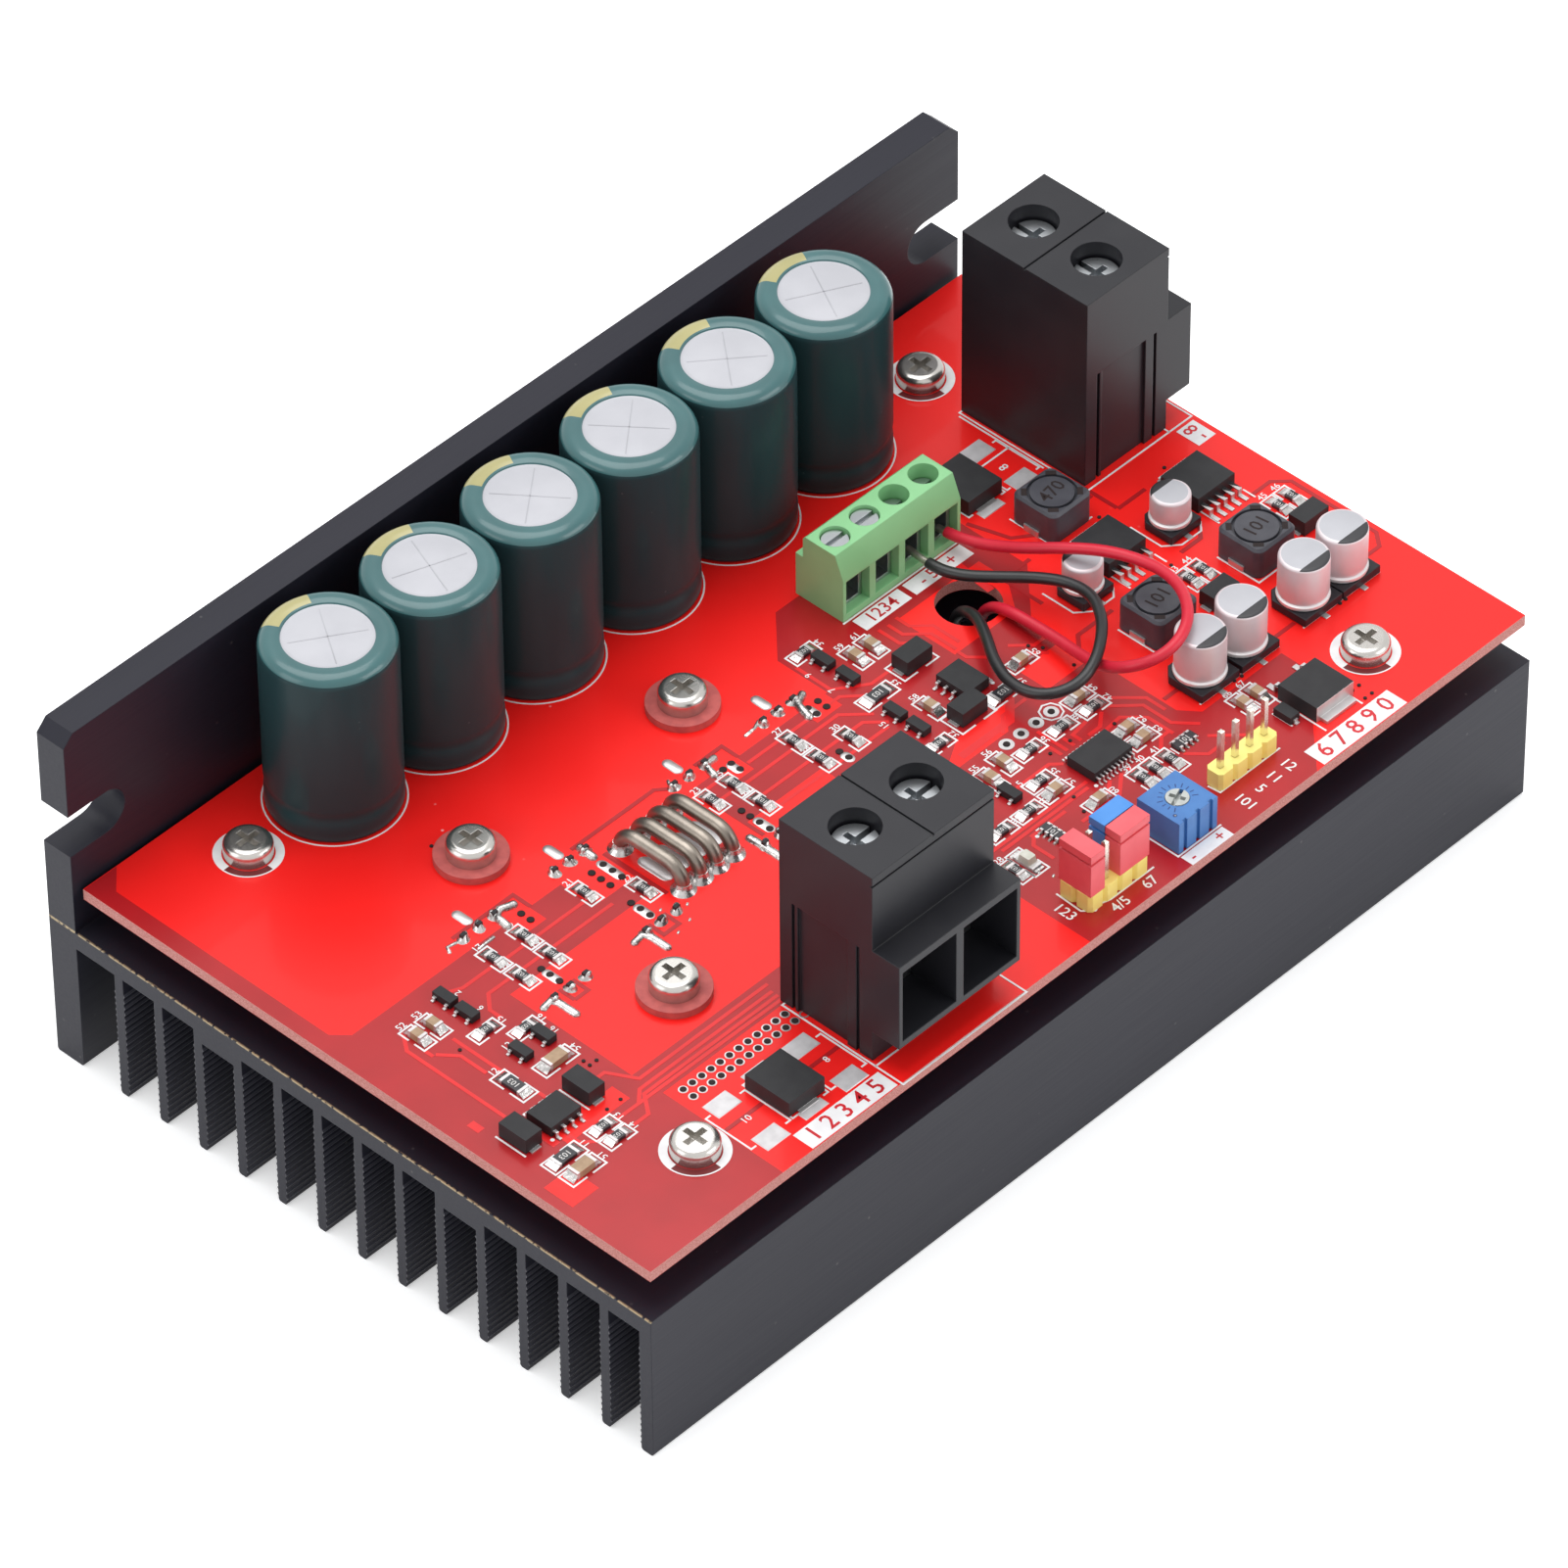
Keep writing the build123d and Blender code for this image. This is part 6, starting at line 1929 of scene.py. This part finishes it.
@dataclass
class Joints:
    """Solder on the transistor leads, the shunts and the spilled tongues beside them."""

    cone: Sequence[Pair] = (
        (0.95, 0.0), (0.817, 0.14), (0.6, 0.42), (0.48, 0.72), (0.3, 0.85), (0, 0.9),
    )
    lead_inset: float = 0.25
    shunt_inset: float = 0.9
    cone_lean: float = 0.34
    cone_depth: float = 0.82
    foot: Sequence[Pair] = (
        (1.62, 0.0), (1.5, 0.16), (1.2, 0.4), (1.02, 0.8), (0.92, 1.15), (0, 1.2),
    )
    runs: Sequence[float] = (27.5, 42.5, 62.4, 77.4)
    tongues: Sequence[tuple[Sequence[Pair], float, float]] = (
        (((23.2, 39.1), (24.6, 39.4), (25, 38.4), (25, 35.7)), 1.1, 0.5),
        (((38, 39), (39.6, 39.3), (40, 38.2), (40, 35.7)), 1.1, 0.5),
        (((59.7, 41.4), (59.8, 38.6), (59.8, 36)), 1.2, 0.5),
        (((30, 51.6), (30.2, 53.6), (31.2, 54.2), (33, 53.6)), 1.2, 0.6),
        (((45, 52.4), (45.1, 54.6)), 1.2, 0.6),
        (((64.6, 51.8), (65, 53.6), (66.6, 53.8)), 1.1, 0.6),
        (((79.4, 50.6), (80, 53), (81.6, 53.8)), 1.2, 0.6),
        (((25.2, 51.4), (27.6, 51.5)), 0.5, 0.2),
        (((22.4, 53.4), (22.8, 54.2), (24, 54)), 0.5, 0.2),
        (((72, 53.8), (73.6, 53.9), (74.8, 54.4)), 0.5, 0.25),
        (((59.6, 54), (60.2, 55)), 0.5, 0.25),
    )
    drops: Sequence[Pair] = (
        (46.7, 39), (43.9, 40.6), (42.6, 36.5), (45, 37), (78.2, 13), (78.9, 11.4),
    )

    def build(self) -> None:
        """Scatters the cones and lays the tongues."""
        self._leads()
        self._shunts()
        spill = Draft(SOLDER, TINNED)
        spill.use(TINNED)
        for x in self.runs:
            spill.bead([(x, 55.6), (x, 57.2)], 1.4, 0.2)
        spill.use(SOLDER)
        for path, width, rise in self.tongues:
            spill.bead(path, width, rise)
        for x, y in self.drops:
            spill.bead([(x, y), (x + 0.2, y + 0.12)], 0.36, 0.14)
        spill.piece("solder_spills", "tinned_metal", smooth=70)

    def _leads(self) -> None:
        places = []
        for row, away in (("upper", 1), ("lower", -1)):
            for box in solids(f"{row}_transistors"):
                edge = box.low if away > 0 else box.high
                y = edge[1] + away * self.lead_inset
                for n in (-1, 0, 1):
                    spread = 17 * n + 40 * away + 25 * len(places)
                    places.append((DATUM.at(box.centre[0] + TRANSISTOR_PITCH * n, y), spread))
        draft = Draft(SOLDER)
        draft.lathe(self.cone, steps=14)
        for vertex in draft.mesh.verts:
            vertex.co.x += vertex.co.z * self.cone_lean
            vertex.co.y *= self.cone_depth
        self._scatter("lead_joints", draft, places)

    def _shunts(self) -> None:
        feet = []
        for number in range(1, 5):
            box = solids(f"current_shunt_{number}")[0]
            ends = (box.low[1] + self.shunt_inset, box.high[1] - self.shunt_inset)
            feet += [(DATUM.at(box.centre[0], y), turn) for y, turn in zip(ends, (20.0, 70.0))]
        draft = Draft(SOLDER)
        draft.lathe(self.foot, steps=20)
        self._scatter("shunt_joints", draft, feet)

    @staticmethod
    def _scatter(name: str, draft: Draft, places: Sequence[tuple[Vector, float]]) -> None:
        place_piece(name, scatter(name, draft, places), "tinned_metal", smooth=60)


@dataclass(frozen=True)
class Photographer:
    """The camera's place and lens, and the light of the studio."""

    eye: Triple = (-730.16, -697.63, 964.29)
    way: Triple = (0.52785, 0.50590, -0.68223)
    roll: float = -0.52
    focal_pixels: float = 12050.0
    image_pixels: float = 1601.0
    sensor: float = 36.0
    lamps: tuple = field(
        default=(
            ("overhead_softbox", (0.05, 0.25, 1.1), (0, 0, 0), (1.0, 1.0), 9.0),
            ("left_softbox", (-1.2, 0.35, 0.55), (0, 0, 0.02), (0.7, 0.7), 2.5),
            ("front_softbox", (0.55, -1.15, 0.6), (0, 0, 0.02), (0.9, 0.6), 4.5),
        )
    )
    sky: Colour = (0.96, 0.98, 1.0)
    sky_strength: float = 0.68
    floor_glow: float = 0.45
    floor_half: float = 4.0

    def camera(self) -> None:
        """Sets the camera where the photograph was taken from."""
        data = bpy.data.cameras.new("camera")
        data.sensor_width = self.sensor
        data.lens = self.sensor * self.focal_pixels / self.image_pixels
        data.clip_start, data.clip_end = 0.05, 20.0
        camera = add_object("camera", data)
        turn = Vector(self.way).to_track_quat("-Z", "Y").to_matrix().to_4x4()
        roll = Matrix.Rotation(math.radians(self.roll), 4, "Z")
        camera.matrix_world = Matrix.Translation(Vector(self.eye) * MM) @ turn @ roll
        bpy.context.scene.camera = camera

    def lights(self) -> None:
        """Sets the lamps."""
        for name, place, aim, size, power in self.lamps:
            data = bpy.data.lights.new(name, "AREA")
            data.shape = "RECTANGLE"
            data.size, data.size_y = size
            data.energy = power
            lamp = add_object(name, data)
            lamp.location = place
            way = Vector(aim) - Vector(place)
            lamp.rotation_euler = way.to_track_quat("-Z", "Y").to_euler()

    def world(self) -> None:
        """Sets a soft sky, which the camera and reflections see as white."""
        nodes = Nodes(bpy.data.worlds.new("studio"))
        camera, glossy, through = nodes.rays()
        sky = {"Color": self.sky, "Strength": self.sky_strength}
        soft = nodes.add("ShaderNodeBackground", None, sky)
        white = nodes.add("ShaderNodeBackground", None, {"Color": (1.0, 1.0, 1.0), "Strength": 1.0})
        values = {0: camera.most(through).most(glossy), 1: soft, 2: white}
        mixed = nodes.add("ShaderNodeMixShader", None, values)
        bpy.context.scene.world = nodes.end(mixed, "World")

    def floor(self) -> None:
        """Lays the pale floor under the fins."""
        nodes = Nodes(bpy.data.materials.new("pale_floor"))
        camera, glossy, through = nodes.rays()
        cloth = nodes.mix(nodes.noise(400.0), (0.86, 0.86, 0.86), (0.84, 0.84, 0.84))
        plain = nodes.add("ShaderNodeBsdfDiffuse", None, {"Color": cloth})
        glow = nodes.add("ShaderNodeEmission", None, {"Strength": self.floor_glow})
        lit = nodes.add("ShaderNodeAddShader", None, {0: plain, 1: glow})
        values = {0: camera + glossy + through, 1: plain, 2: lit}
        far = self.floor_half
        mesh = bpy.data.meshes.new("floor")
        corners = [(-far, -far, 0), (far, -far, 0), (far, far, 0), (-far, far, 0)]
        mesh.from_pydata(corners, [], [(0, 1, 2, 3)])
        mesh.materials.append(nodes.end(nodes.add("ShaderNodeMixShader", None, values)))
        add_object("floor", mesh)


def main() -> None:
    """Builds the studio and every sub-assembly."""
    logging.basicConfig(level=logging.INFO, format="%(message)s")
    bpy.context.scene.view_settings.view_transform = "Standard"
    studio = Photographer()
    studio.camera()
    studio.lights()
    studio.world()
    studio.floor()
    FanWire("fan_wire_black", BLACK_ROUTE, BLACK_WIRE, "wire_black", 3.6).build()
    FanWire("fan_wire_red", RED_ROUTE, RED_WIRE, "wire_red", 1.9).build()
    Heatsink().build()
    for number in range(1, 7):
        LargeCapacitor(number).build()
    for kind, count, dark_way in (("filter", 4, -90.0), ("output", 2, 90.0)):
        for number in range(1, count + 1):
            CanCapacitor(f"{kind}_capacitor_{number}", dark_way).build()
    for number, value in enumerate(("470", "101", "101"), start=1):
        Inductor(number, value).build()
    for assembly in (BoardPrint, ChipParts, Joints, Trimmer, ResistorNetworks, StatusLed):
        assembly().build()
    for side, finish, slot in (
        ("motor", BLACK_PLASTIC, "terminal_black"),
        ("battery", BLACK_PLASTIC, "terminal_black"),
        ("signal", GREEN_PLASTIC, "terminal_green"),
    ):
        refine(f"{side}_terminal_housing", finish, slot)
        dress(f"{side}_terminal_screws", ZINC)
        dress(f"{side}_terminal_clamps", ZINC)
    for node, case in {
        "buck_regulators": (6.1, 6.5), "linear_regulator": (6.1, 6.5), "surge_diodes": (6.9, 5.9),
        "driver_chips": (3.9, 4.9), "controller_chip": (4.4, 6.5), "small_transistors": (1.4, 2.9),
    }.items():
        two_tone(node, functools.partial(outside_case, case))
    two_tone("rectifier_diodes", diode_lead)
    for number in range(1, 5):
        dress(f"current_shunt_{number}", SHUNT)
    for node, finish in {
        "circuit_board": SOLDER_MASK, "board_screws": NICKEL, "clamp_screws": NICKEL,
        "fibre_washers": FIBRE, "board_spacers": SPACER_METAL, "upper_transistors": CHIP_EPOXY,
        "lower_transistors": CHIP_EPOXY, "insulating_strips": PAD_GREY,
        "chip_resistors": CHIP_GLAZE, "chip_capacitors": TAN_CERAMIC,
        "resistor_networks": CHIP_GLAZE, "status_led": LED_CLEAR, "trimmer_body": TRIMMER_BLUE,
        "trimmer_rotor": ROTOR_GREY, "input_header": YELLOW_PLASTIC,
        "mode_header": YELLOW_PLASTIC, "header_pins": GOLD_PIN, "red_jumpers": RED_CAP,
        "blue_jumper": BLUE_CAP, "fan_frame": FAN_PLASTIC, "fan_rotor": FAN_PLASTIC,
        "fan_screws": ZINC,
    }.items():
        dress(node, finish)


if __name__ == "__main__":
    main()
